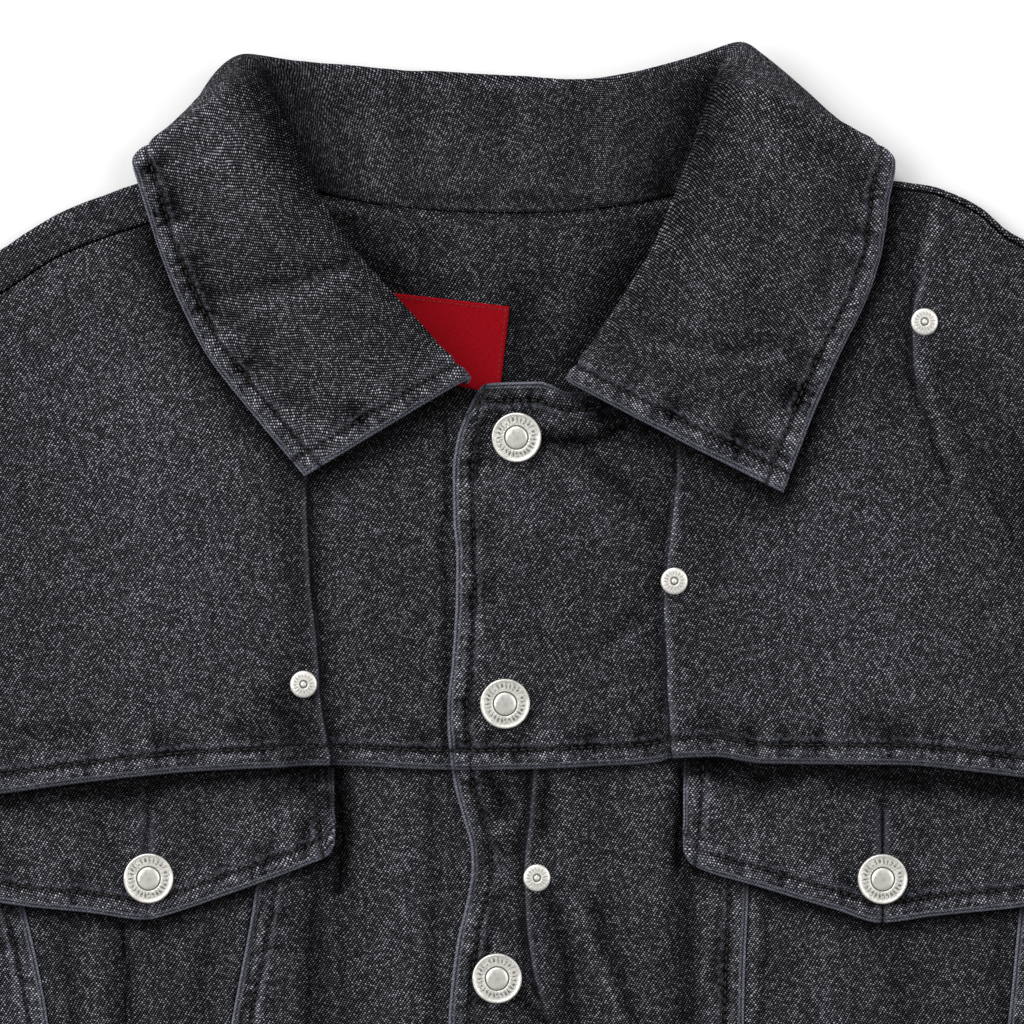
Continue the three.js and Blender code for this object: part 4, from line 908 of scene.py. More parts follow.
@dataclass
class Panel:
    """A panel of the front, between two sides, a top and a bottom, with the tucks that cross it."""

    sides: tuple[Curve, Curve]
    top: Curve
    bottom: Curve
    rows: np.ndarray
    columns: Sequence[np.ndarray]
    middle: Surface
    tucks: Sequence[Tuck] = ()

    def grid(self) -> np.ndarray:
        """Lay the grid out, row by row.

        Returns:
            Rows by columns by 6: the places in millimetres, how worn the cloth is, its painted shade, and its fading
                with painted highlight.
        """
        lines = [self.sides[0], *(tuck.line for tuck in self.tucks), self.sides[1]]
        tucks = [None, *self.tucks, None]
        places = []
        for line in lines:
            y = mix(meeting_y(line, self.top), meeting_y(line, self.bottom), self.rows)
            places.append((line(y), y))
        section = spline(TUCK_SECTION, np.linspace(0, 1, 46))
        xs, rises = [], []
        for k, shares in enumerate(self.columns):
            start, stop = places[k][0].copy(), places[k + 1][0].copy()
            if tucks[k]:
                start += TUCK_OVER if tucks[k].over > 0 else TUCK_UNDER
            if tucks[k + 1]:
                stop -= TUCK_UNDER if tucks[k + 1].over > 0 else TUCK_OVER
            xs.append(mix(start[:, None], stop[:, None], shares))
            rises.append(np.zeros(xs[-1].shape))
            if tucks[k + 1]:
                x, y = places[k + 1]
                self.lay_tuck(tucks[k + 1], x, y, section, xs, rises)
        x = np.concatenate(xs, 1)
        y = mix(self.top(x), self.bottom(x), self.rows[:, None])
        # Painted shade in the tuck hollows, the fold troughs, beside the collar, under the flaps and under the yoke;
        # the creases add painted shade and painted highlight.
        worn, painted_shade = tuck_marks(x, y, self.tucks)
        troughs = fold_rise(x, y, FRONT_FOLDS[FRONT_FOLDS[:, 5] < 0])
        painted_shade = np.maximum(painted_shade, np.clip(-0.5 * troughs, 0, 0.6))
        painted_shade = np.maximum(painted_shade, SHADE_BESIDE_COLLAR * beside_collar(x, y))
        lift, light, shaded = crease(x, y, FRONT_CREASES)
        for cut in (RIGHT_FLAP, LEFT_FLAP):
            below = cut.edge(x) - y
            inside = ramp(cut.start - 4, cut.start, x) * ramp(cut.stop + 4, cut.stop, x)
            under = inside * np.where(below > -LAP, hill(0, 5.5, below), 0)
            shaded = np.maximum(shaded, SHADE_UNDER_FLAP * under)
        below = yoke_seam(x) - y
        shaded = np.maximum(shaded, SHADE_UNDER_YOKE * np.where(below > -2, hill(0, 3.2, below), 0))
        z = self.middle(x, y) + np.concatenate(rises, 1) + lift
        return np.stack([x, y, z, worn, np.maximum(painted_shade, shaded), light], -1)

    @staticmethod
    def lay_tuck(tuck: Tuck, x: np.ndarray, y: np.ndarray, section: np.ndarray, xs: list, rises: list) -> None:
        """Add the columns of a tuck.

        Args:
            tuck: The tuck.
            x: Its line's x in each row.
            y: Its line's y in each row.
            section: Its section, shut and open.
            xs: The blocks of x to add to.
            rises: The blocks of rise to add to.
        """
        rows = section if tuck.over > 0 else section[::-1]
        shut, high = tuck.shut(y)[:, None], tuck.high(y)[:, None] * TUCK_HIGH
        xs.append(x[:, None] + tuck.over * mix(rows[:, 2], rows[:, 0], shut))
        rises.append(high * mix(rows[:, 3], rows[:, 1], shut))


@dataclass
class Fronts:
    """The yokes, the panels below them and the pocket flaps.

    Attributes:
        cloth: Spacing of the grid where the cloth shows well.
        below: Spacing of the grid far from the chest, which is not used.
    """

    cloth: float = 1.4
    below: float = 4.6
    flap_cloth: float = 1.5

    def right_side(self, y: np.ndarray) -> np.ndarray:
        """Return the x of the right side seam."""
        return -flank(y) + GAP / 2

    def left_side(self, y: np.ndarray) -> np.ndarray:
        """Return the x of the left side seam."""
        return flank(y) - GAP / 2

    def right_top(self, x: np.ndarray) -> np.ndarray:
        """Return the top of the right yoke: its neck or its shoulder seam."""
        neck = np.where(x < -BACK_NECK_X, np.inf, right_neck(x))
        return np.minimum(seam_below(x) - RIGHT_SEAM_FORWARD, neck)

    def left_top(self, x: np.ndarray) -> np.ndarray:
        """Return the top of the left yoke: its neck or its shoulder seam."""
        neck = np.where(x > BACK_NECK_X + 1, np.inf, left_neck(x))
        return np.minimum(seam_below(x), neck)

    def yokes(self) -> list[Cloth]:
        """Return both front yokes."""
        rows = stations(170, self.cloth, fine_stop=True)
        right = Panel(
            (self.right_side, lambda y: np.full(np.shape(y), UNDERLAP_X)),
            self.right_top,
            yoke_seam,
            rows,
            [stations(150, self.cloth), stations(75, self.cloth)],
            right_yoke_middle,
            [RIGHT_YOKE_TUCK],
        )
        left = Panel(
            (front_edge, self.left_side),
            self.left_top,
            yoke_seam,
            stations(170, self.cloth, True, True),
            [stations(62, self.cloth, fine_start=True), stations(42, self.cloth), stations(100, self.cloth)],
            left_yoke_middle,
            [LEFT_YOKE_TUCK, LEFT_SHOULDER_TUCK],
        )
        return [
            Cloth("front_yoke_right", right.grid(), stitched=[Edge.BOTTOM], seed=11),
            Cloth("front_yoke_left", left.grid(), stitched=[Edge.BOTTOM, Edge.START, Edge.TOP], seed=23,
                  reach={Edge.TOP: 52}),
        ]

    def lower(self, name: str, start: Curve, stop: Curve, width: float, stitched: Sequence[Edge], seed: int,
              left: bool = False, tucks: Sequence[Tuck] = ()) -> Cloth:
        """Make a panel below the yoke.

        Args:
            name: Its node.
            start: Its side with smaller x.
            stop: Its side with larger x.
            width: Its usual width.
            stitched: Its stitched edges.
            seed: Picks its waves.
            left: Whether it belongs to the left front.
            tucks: The tucks that cross it.

        Returns:
            The panel.
        """
        near = np.linspace(0, 0.29, 56)
        rows = np.concatenate([near, np.linspace(0.29, 1, 50)[1:]])
        fine = (Edge.START in stitched, Edge.END in stitched)
        columns = [stations(width, 1.3, *fine)]
        if tucks:
            columns = [stations(18, 1.3, fine[0]), stations(46, 1.3, False, fine[1])]
        sides = (lambda y: start(y) + GAP / 2, lambda y: stop(y) - GAP / 2)
        middle = left_front_middle if left else front_middle
        panel = Panel(
            sides, lambda x: yoke_seam(x) + LAP, lambda x: np.full(np.shape(x), WAIST_Y + GAP),
            rows, columns, middle, tucks,
        )
        return Cloth(name, panel.grid(), stitched=stitched, seed=seed)

    def panels(self) -> list[Cloth]:
        """Return the six panels below the yokes."""
        both = [Edge.START, Edge.END]
        underlap = lambda y: np.full(np.shape(y), UNDERLAP_X)
        return [
            self.lower("front_side_right", lambda y: -flank(y), right_outer, 110, [Edge.END], 31),
            self.lower("front_pocket_right", right_outer, right_inner, 60, [], 37),
            self.lower("front_centre_right", right_inner, underlap, 115, [Edge.START], 41),
            self.lower("front_centre_left", front_edge, left_inner, 110, both, 43, True, [LEFT_FRONT_TUCK]),
            self.lower("front_pocket_left", left_inner, left_outer, 75, [], 47, True),
            self.lower("front_side_left", left_outer, flank, 110, [Edge.START], 53, True),
        ]

    def flap(self, name: str, cut: FlapCut, seed: int) -> Cloth:
        """Make a pocket flap, which hangs from the yoke seam.

        Args:
            name: Its node.
            cut: Its outline.
            seed: Picks its waves.

        Returns:
            The flap.
        """
        across = stations(cut.stop - cut.start, self.flap_cloth, True, True)
        down = stations(42, self.flap_cloth, False, True)
        x = np.broadcast_to(mix(cut.start, cut.stop, across), (len(down), len(across)))
        y = mix(yoke_seam(x) - EASED_GAP, cut.edge(x), down[:, None])
        slit_x, slit_top, slit_end = cut.slit
        slit = hill(0, 0.75, x - slit_x) * ramp(slit_top + 0.8, slit_top - 0.8, y)
        lips = hill(1.5, 0.8, np.abs(x - slit_x)) * ramp(slit_top + 2.2, slit_top, y)
        z = flap_middle(x, y) - 1.1 * slit + 0.35 * lips
        # Painted shade under the yoke, in the buttonhole slit and in the creases; the creases also add painted
        # highlight.
        below = yoke_seam(x) - y + 3 * noise(x, y, 9, seed)
        shaded = 0.92 * ramp(11, 3.5, below)
        lift, light, painted_shade = crease(x, y, FLAP_CREASES)
        grid = np.stack([x, y, z + lift, 0.35 * lips, np.maximum(slit, np.maximum(painted_shade, shaded)), light], -1)
        edges = [Edge.START, Edge.BOTTOM, Edge.END]
        return Cloth(name, grid, DOUBLE, stitched=edges, limp=0.22, seed=seed)

    def make(self) -> list[Cloth]:
        """Return all the pieces of the front."""
        flaps = [
            self.flap("pocket_flap_right", RIGHT_FLAP, 61),
            self.flap("pocket_flap_left", LEFT_FLAP, 67),
        ]
        return [*self.yokes(), *self.panels(), *flaps]


@dataclass
class Back:
    """The back yoke, which turns over the shoulders to the front, and the back panel."""

    cloth: float = 3.2

    @staticmethod
    def over_shoulder(x: np.ndarray, v: np.ndarray) -> tuple[np.ndarray, np.ndarray]:
        """Follow the cloth over the shoulder.

        Args:
            x: Places across the body.
            v: y as the cloth was cut: it counts on round the fold and down the front.

        Returns:
            y and z of the middle of the cloth.
        """
        start = shoulder(x) - CLOTH / 2 - FOLD
        stop = start + math.pi * FOLD
        angle = np.clip((v - start) / FOLD, 0, math.pi) - math.pi / 2
        centre = back_middle(x, start) + FOLD
        y = np.where(v <= start, v, start + FOLD * np.cos(angle))
        z = np.where(v <= start, back_middle(x, v), centre + FOLD * np.sin(angle))
        past = v > stop
        y = np.where(past, start - (v - stop), y)
        return y, np.where(past, front_middle(x, y), z)

    def yoke(self) -> Cloth:
        """Return the back yoke."""
        across = np.linspace(-HALF_SHOULDER, HALF_SHOULDER, round(2 * HALF_SHOULDER / self.cloth))
        start = shoulder(across) - CLOTH / 2 - FOLD
        stop = start + math.pi * FOLD
        seam = stop + np.where(across < 0, RIGHT_SEAM_FORWARD, 0)
        edge = np.where(np.abs(across) <= BACK_NECK_X + 1, np.minimum(back_neck(across), seam), seam)
        start, stop = np.minimum(start, edge - 8), np.minimum(stop, edge - 1.5)
        rows = []
        for share in np.linspace(0, 1, 60):
            rows.append(mix(BACK_SEAM_Y + GAP / 2, start, share))
        for share in np.linspace(0, 1, 9)[1:]:
            rows.append(mix(start, stop, share))
        for share in np.linspace(0, 1, 9)[1:]:
            rows.append(mix(stop, edge, share))
        v = np.array(rows)
        x = np.broadcast_to(across, v.shape)
        y, _ = self.over_shoulder(x, v)
        x = x / HALF_SHOULDER * (np.minimum(HALF_SHOULDER, flank(y)) - GAP / 2)
        y, z = self.over_shoulder(x, v)
        turned = v > ((start + stop) / 2)[None]
        plan = np.stack([x, np.where(turned, y + FOLD, v)], -1)
        # Painted shade inside the neck: the creases' painted shade and highlight, and the uncovered inside of the
        # back made darker overall.
        _, light, painted_shade = crease(x, y, NECK_CREASES)
        marks = np.stack([np.zeros(x.shape), np.where(turned, 0, painted_shade), np.where(turned, light, light - 0.12)], -1)
        return Cloth("back_yoke", np.stack([x, y, z], -1), plan=plan, limp=0.25, seed=71, marks=marks)

    def panel(self) -> Cloth:
        """Return the back panel."""
        rows = np.linspace(BACK_SEAM_Y - GAP / 2, WAIST_Y + GAP / 2, 72)[:, None]
        x = (flank(rows) - GAP / 2) * np.linspace(-1, 1, 96)
        y = np.broadcast_to(rows, x.shape)
        return Cloth("back_panel", np.stack([x, y, np.full(x.shape, CLOTH / 2)], -1), limp=0.0, seed=73)

    def make(self) -> list[Cloth]:
        """Return the pieces of the back."""
        return [self.yoke(), self.panel()]


@dataclass
class Band:
    """A band buttoned into a ring and laid flat, such as the waistband or a cuff."""

    half: float
    under_end: float
    top_end: float
    step: float

    def path(self) -> np.ndarray:
        """Return points (across, z) from the under end, round, and up to the top end."""
        low, high = DOUBLE / 2, DOUBLE / 2 + 2 * FOLD
        centre = self.half - DOUBLE / 2 - FOLD
        turn = np.linspace(0, math.pi, 9)[1:-1]
        under = self.spread(self.under_end, -centre)
        below = self.spread(-centre, centre)
        above = self.spread(centre, self.top_end, True)
        raised = high + (DOUBLE + GAP) * ramp(self.under_end + 24, self.under_end + 3, above)
        return np.concatenate([
            np.stack([under, np.full(len(under), high)], -1),
            np.stack([-centre - FOLD * np.sin(turn), low + FOLD + FOLD * np.cos(turn)], -1),
            np.stack([below, np.full(len(below), low)], -1),
            np.stack([centre + FOLD * np.sin(turn), low + FOLD - FOLD * np.cos(turn)], -1),
            np.stack([above, raised], -1),
        ])

    def spread(self, start: float, stop: float, fine: bool = False) -> np.ndarray:
        """Return even places from start to stop, finer at the stop if asked."""
        return mix(start, stop, stations(abs(stop - start), self.step, False, fine))


@dataclass
class Waistband:
    """The band at the hem."""

    band: Band = field(default_factory=lambda: Band(HALF_WAIST, UNDERLAP_X, float(front_edge(HEM_Y)), 4))

    def make(self) -> list[Cloth]:
        """Return the waistband."""
        path = self.band.path()
        rows = stations(WAIST_Y - HEM_Y, 3, True, True)
        y = np.broadcast_to(mix(WAIST_Y, HEM_Y, rows)[:, None], (len(rows), len(path)))
        x, z = (np.broadcast_to(path[:, k], y.shape) for k in (0, 1))
        run = np.concatenate([[0], np.cumsum(np.hypot(*np.diff(path, axis=0).T))])
        plan = np.stack([np.broadcast_to(run, y.shape), y], -1)
        edges = [Edge.TOP, Edge.BOTTOM, Edge.END]
        grid = np.stack([x, y, z], -1)
        return [Cloth("waistband", grid, DOUBLE, 8, plan, edges, [Edge.START], 0.15, 79)]


@dataclass
class Sleeves:
    """Both sleeves, each a flattened tube of two pieces, and their cuffs."""

    cuff_outer: tuple[float, float] = (630, -282)
    cuff_inner: tuple[float, float] = (536, -369)
    cuff_height: float = 62
    elbow_seam: float = 0.38
    underarm_seam: float = 8
    armhole_eases_out: float = 0.35
    step: float = 5.5

    def __post_init__(self) -> None:
        """Set the edges of the sleeve by share of its length."""
        (outer_x, outer_y), (inner_x, inner_y) = self.cuff_outer, self.cuff_inner
        self.outer_x = through((0, 268), (0.11, 316), (0.27, 380), (0.47, 452), (0.73, 538), (1, outer_x))
        self.outer_y = through((0, 50), (0.11, 26), (0.27, -24), (0.47, -92), (0.73, -182), (1, outer_y))
        self.inner_x = through((0, 283), (0.11, 316), (0.27, 356), (0.47, 404), (0.73, 470), (1, inner_x))
        self.inner_y = through((0, -215), (0.11, -240), (0.27, -264), (0.47, -292), (0.73, -331), (1, inner_y))

    def place(self, share: np.ndarray, out: np.ndarray, width: np.ndarray, z: np.ndarray, mirror: int) -> np.ndarray:
        """Place points on a sleeve.

        Args:
            share: Of its length.
            out: Distance from the outer edge.
            width: Of the sleeve there.
            z: Height.
            mirror: -1 for the right sleeve.

        Returns:
            The points.
        """
        across = out / width
        x = mix(self.outer_x(share), self.inner_x(share), across)
        y = mix(self.outer_y(share), self.inner_y(share), across)
        seam_y = mix(self.outer_y(0), self.inner_y(0), across)
        seam_x = mix(self.outer_x(0), self.inner_x(0), across)
        cap = (flank(seam_y) + EASED_GAP - seam_x) * ramp(self.armhole_eases_out, 0, share)
        on_front = ramp(CLOTH, 2 * FOLD, z) * ramp(0, 14, out) * ramp(0, 14, width - out)
        rise = fold_rise(x, y, SLEEVE_FOLDS) * on_front
        return np.stack([mirror * (x + cap), y, z + rise], -1)

    def piece(self, name: str, upper: bool, mirror: int, seed: int) -> Cloth:
        """Make the upper or the under piece of a sleeve.

        Args:
            name: Its node.
            upper: Whether it is the upper piece.
            mirror: -1 for the right sleeve.
            seed: Picks its waves.

        Returns:
            The piece.
        """
        low, high, inset = CLOTH / 2, CLOTH / 2 + 2 * FOLD, CLOTH / 2 + FOLD
        turn = np.linspace(0, math.pi, 7)[1:-1]
        shares = np.linspace(0, 0.998, 80)[:, None]
        width = np.hypot(
            self.inner_x(shares) - self.outer_x(shares), self.inner_y(shares) - self.outer_y(shares)
        )
        span = lambda start, stop, count: start + (stop - start) * np.linspace(0, 1, count)
        level = lambda block, z: np.full(block.shape, z)
        if upper:
            over = span(width - self.underarm_seam, inset, 34)
            under = span(inset, width * self.elbow_seam, 12)
            fold = np.broadcast_to(inset - FOLD * np.sin(turn), (len(shares), len(turn)))
            rise = np.broadcast_to(low + FOLD + FOLD * np.cos(turn), fold.shape)
            out, z = [over, fold, under], [level(over, high), rise, level(under, low)]
        else:
            under = span(width * self.elbow_seam + GAP, width - inset, 20)
            fold = width - inset + FOLD * np.sin(turn)
            rise = np.broadcast_to(low + FOLD - FOLD * np.cos(turn), fold.shape)
            over = span(width - inset, width - self.underarm_seam + GAP, 4)
            out, z = [under, fold, over], [level(under, low), rise, level(over, high)]
        out, z = np.concatenate(out, 1), np.concatenate(z, 1)
        grid = self.place(shares, out, width, z, mirror)
        run = np.pad(np.cumsum(np.hypot(*np.diff(np.stack([out, z]), axis=2)), axis=1), [(0, 0), (1, 0)])
        plan = np.stack([run, np.broadcast_to(-560 * shares, run.shape)], -1)
        return Cloth(name, grid, plan=plan, twill=62, limp=0.35, seed=seed)

    def cuff(self, name: str, mirror: int, seed: int) -> Cloth:
        """Make a cuff, buttoned shut.

        Args:
            name: Its node.
            mirror: -1 for the right cuff.
            seed: Picks its waves.

        Returns:
            The cuff.
        """
        outer, inner = np.array(self.cuff_outer), np.array(self.cuff_inner)
        width = float(np.hypot(*(outer - inner)))
        ahead = (outer - inner) / width
        path = Band(width / 2, 26, 2, 3).path()
        rows = stations(self.cuff_height - GAP, 3, True, True)
        down = np.broadcast_to((GAP + rows * (self.cuff_height - GAP))[:, None], (len(rows), len(path)))
        across, z = (np.broadcast_to(path[:, k], down.shape) for k in (0, 1))
        middle = (outer + inner) / 2
        x = middle[0] + across * ahead[0] + down * ahead[1]
        y = middle[1] + across * ahead[1] - down * ahead[0]
        run = np.concatenate([[0], np.cumsum(np.hypot(*np.diff(path, axis=0).T))])
        plan = np.stack([np.broadcast_to(run, down.shape), -down], -1)
        edges = [Edge.TOP, Edge.BOTTOM, Edge.END]
        return Cloth(name, np.stack([mirror * x, y, z], -1), DOUBLE, 8, plan, edges, [Edge.START], 0.15, seed)

    def make(self) -> list[Cloth]:
        """Return the sleeves and cuffs."""
        return [
            self.piece("sleeve_upper_right", True, -1, 83),
            self.piece("sleeve_under_right", False, -1, 89),
            self.piece("sleeve_upper_left", True, 1, 97),
            self.piece("sleeve_under_left", False, 1, 101),
            self.cuff("cuff_right", -1, 103),
            self.cuff("cuff_left", 1, 107),
        ]


# Sections of the collar from the wearer's right end round the back to the left end. Each runs from the neck
# seam up the stand to the roll, then down the fall to the edge.
COLLAR = np.array([
    [(-14, 44.4, 4.6), (-13.6, 45.2, 7.6), (-15.5, 44.6, 11), (-43, 28.5, 10), (-70.1, 12, 9.3)],
    [(-37, 51.3, 4.4), (-32, 57, 10), (-32, 64, 16), (-60, 50.5, 13.5), (-88, 33.5, 8)],
    [(-54.5, 62.2, 4.4), (-48, 71, 12), (-47, 80.5, 20), (-75, 67.5, 15.5), (-103, 53, 6.6)],
    [(-67, 76, 4.4), (-60, 84.5, 14), (-59, 95, 23), (-86, 83.5, 17), (-112.5, 71, 6.6)],
    [(-75.5, 92, 5.6), (-68.5, 100, 16), (-67.8, 111, 25), (-94, 100.5, 18.5), (-119.5, 89, 7)],
    [(-80, 107, 7), (-75.5, 115, 17), (-76.5, 130, 25), (-101, 117, 19.5), (-125, 106.5, 10.6)],
    [(-80, 114, 7), (-79, 124, 16), (-83, 142, 23), (-112.5, 131, 12.5), (-128.4, 119.6, 6.6)],
    [(-78, 113.8, 6), (-80, 129, 14), (-86, 147.5, 20.5), (-111.5, 135, 6.4), (-123.5, 120, 1.2)],
    [(-75.2, 114, 6), (-81, 133, 12), (-88, 151.5, 18), (-107, 139.5, 2.4), (-114, 110, 1.2)],
    [(-67, 110.4, 4.9), (-76, 135, 7.5), (-89, 154.6, 13.5), (-99, 149.5, 1.8), (-104, 104, 1.2)],
    [(-56, 107.6, 4), (-64, 134, 5.4), (-72, 152.9, 9), (-76, 148, 1.8), (-82, 99.5, 1.2)],
    [(-28, 103.7, 3.9), (-32, 130, 5.2), (-36, 149.9, 8), (-38, 144, 1.6), (-42, 96.5, 1.2)],
    [(2, 102.6, 3.9), (2, 128, 5.2), (2, 147.6, 8), (2, 142, 1.6), (2, 95.6, 1.2)],
    [(30, 103.9, 3.9), (31, 128, 5.2), (32, 147.2, 8), (36, 142, 1.6), (42, 96.5, 1.2)],
    [(55, 108.6, 4.1), (58, 133, 6), (62, 154, 10.5), (72, 150, 2), (82, 99.5, 1.2)],
    [(70, 114.4, 5), (72, 138, 9), (78, 158.4, 15.5), (90, 149, 1.8), (104, 104, 1.2)],
    [(77, 117.6, 5.8), (71, 133, 14), (74.5, 153, 20.5), (107.5, 137, 2.4), (114, 110, 1.2)],
    [(79, 117.4, 6.4), (70.5, 128, 15.5), (72, 148, 22.5), (112, 133, 6.4), (125, 121, 1.2)],
    [(80.5, 117, 7), (70, 124, 17), (69.6, 143, 24), (113.5, 130, 12.5), (131, 120, 6.6)],
    [(80.2, 106, 7), (67, 112, 18), (64.4, 127, 26), (97, 117, 19.5), (129.4, 106.5, 10.6)],
    [(76, 90.5, 5.4), (61, 97, 17), (57.8, 109, 26), (92, 99, 19), (126.8, 88, 7)],
    [(67.5, 73.5, 4.6), (53, 81, 15), (50.6, 91, 24), (85, 83, 18), (121.5, 72, 6.6)],
    [(55.5, 58.5, 4.4), (41, 65, 13), (40.6, 74, 21), (76, 66, 16), (113.5, 55.5, 6.6)],
    [(39.5, 48.8, 4.6), (29, 51.5, 11), (29.6, 57.5, 17), (65, 46, 13.5), (104, 34, 6.8)],
    [(21, 44.6, 6.2), (19.4, 45.2, 9), (20.6, 44, 12.4), (56.5, 25, 10.6), (93.3, 6.5, 8)],
])


@dataclass
class Collar:
    """The collar, turned down over the shoulders in front and lying under the back."""

    length: float = 700
    step: float = 1.8
    depth: float = 104
    across: float = 1.7

    def make(self) -> list[Cloth]:
        """Return the collar."""
        along = stations(self.length, self.step, True, True)
        lines = spline(COLLAR, along)
        across = stations(self.depth, self.across, False, True)
        grid = spline(np.moveaxis(lines, 1, 0), across)
        grid = np.moveaxis(grid, 0, 1).copy()
        grid[..., 2] = np.maximum(grid[..., 2], DOUBLE / 2)
        v = np.pad(np.cumsum(np.linalg.norm(np.diff(grid, axis=1), axis=2), axis=1), [(0, 0), (1, 0)])
        at = round(grid.shape[1] * 0.78)
        steps = np.diff(grid[:, at], axis=0)
        tangent = (grid[1:, at + 1] - grid[1:, at - 1])
        tangent /= np.linalg.norm(tangent, axis=1)[:, None]
        slip = (steps * tangent).sum(1)
        ahead = np.sqrt(np.maximum((steps**2).sum(1) - slip**2, 0))
        u = np.concatenate([[0], np.cumsum(ahead)])
        v = v - v[:, at : at + 1] + np.concatenate([[0], np.cumsum(slip)])[:, None]
        plan = np.stack([np.broadcast_to(u[:, None], v.shape), v], -1)
        edges = [Edge.TOP, Edge.BOTTOM, Edge.END]
        # Painted shade and painted highlight from the collar's creases.
        lift, light, painted_shade = crease(grid[..., 0], grid[..., 1], COLLAR_CREASES, 9)
        grid[..., 2] += lift
        marks = np.stack([np.zeros(painted_shade.shape), painted_shade, light], -1)
        return [Cloth("collar", grid, DOUBLE, 58, plan, edges, limp=0.3, seed=109, marks=marks, puckered=1.7)]


@dataclass
class NeckLabel:
    """The woven label sewn inside the back of the neck."""

    width: float = 62
    height: float = 42
    corner: tuple[float, float] = (0, 70.4)
    turn: float = -0.115

    def make(self) -> list[Cloth]:
        """Return the label."""
        u = -self.width * stations(self.width, 1.2, True, True)[::-1]
        v = -self.height * stations(self.height, 1.2, True, True)[:, None]
        x = self.corner[0] + u * math.cos(self.turn) - v * math.sin(self.turn)
        y = self.corner[1] + u * math.sin(self.turn) + v * math.cos(self.turn)
        z = back_middle(x, y) + CLOTH / 2 + GAP + LABEL / 2
        plan = np.stack(np.broadcast_arrays(u, v), -1)
        edges = [Edge.TOP, Edge.BOTTOM, Edge.START, Edge.END]
        grid = np.stack([x, y, z], -1)
        return [Cloth("neck_label", grid, LABEL, 0, plan, (), edges, 0.18, 113, "label_satin")]


@dataclass
class Stitching:
    """Rows of thread stitches, one piece for each row's cloth.

    Attributes:
        pitch: Distance from stitch to stitch.
        length: Of one stitch.
        width: Of the thread.
    """

    pitch: float = STITCH_PITCH
    length: float = 2.35
    width: float = 0.75

    def template(self) -> tuple[np.ndarray, np.ndarray]:
        """Model one stitch, lying along x.

        Returns:
            Its points in millimetres and its triangles.
        """
        bpy.ops.object.select_all(action="DESELECT")
        bpy.ops.mesh.primitive_uv_sphere_add(segments=6, ring_count=4, radius=0.5)
        stitch = bpy.context.object
        bpy.ops.object.mode_set(mode="EDIT")
        bpy.ops.mesh.select_all(action="SELECT")
        bpy.ops.transform.rotate(value=math.pi / 2, orient_axis="Y", center_override=(0, 0, 0))
        bpy.ops.transform.resize(value=(self.length, self.width, self.width * 0.8), center_override=(0, 0, 0))
        bpy.ops.mesh.quads_convert_to_tris()
        bpy.ops.object.mode_set(mode="OBJECT")
        points = np.array([v.co for v in stitch.data.vertices])
        faces = np.array([list(p.vertices) for p in stitch.data.polygons])
        bpy.data.objects.remove(stitch)
        return points, faces

    def sew(self, name: str, rows: Sequence[tuple[np.ndarray, np.ndarray]],
            material: bpy.types.Material) -> bpy.types.Object:
        """Sew stitches along lines.

        Args:
            name: Of the new piece.
            rows: Lines of points with their normals, in millimetres.
            material: The thread.

        Returns:
            The piece.
        """
        points, faces = self.template()
        places, triangles = [], []
        count = 0
        for line, normals in rows:
            run = np.concatenate([[0], np.cumsum(np.linalg.norm(np.diff(line, axis=0), axis=1))])
            for at in np.arange(self.pitch, run[-1] - self.pitch / 2, self.pitch):
                centre = np.array([np.interp(at, run, line[:, c]) for c in range(3)])
                ahead = np.array([np.interp(at + 0.8, run, line[:, c]) for c in range(3)]) - centre
                normal = np.array([np.interp(at, run, normals[:, c]) for c in range(3)])
                ahead /= np.linalg.norm(ahead) + 1e-9
                side = np.cross(normal, ahead)
                side /= np.linalg.norm(side) + 1e-9
                turn = np.stack([ahead, side, np.cross(ahead, side)])
                places.append(points @ turn + centre)
                triangles.append(faces + count)
                count += len(points)
        places = (np.concatenate(places) + (0, ORIGIN_Y, 0)) * MM
        piece = mesh_piece(name, places, np.concatenate(triangles))
        piece.data.materials.append(material)
        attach(piece, "root")
        return piece


# Slopes of the buttons that don't lie flat
TILTS = {"front_button_1": (-0.12, 0.1), "front_button_2": (0.03, 0.02), "flap_button_right": (0.04, -0.03)}


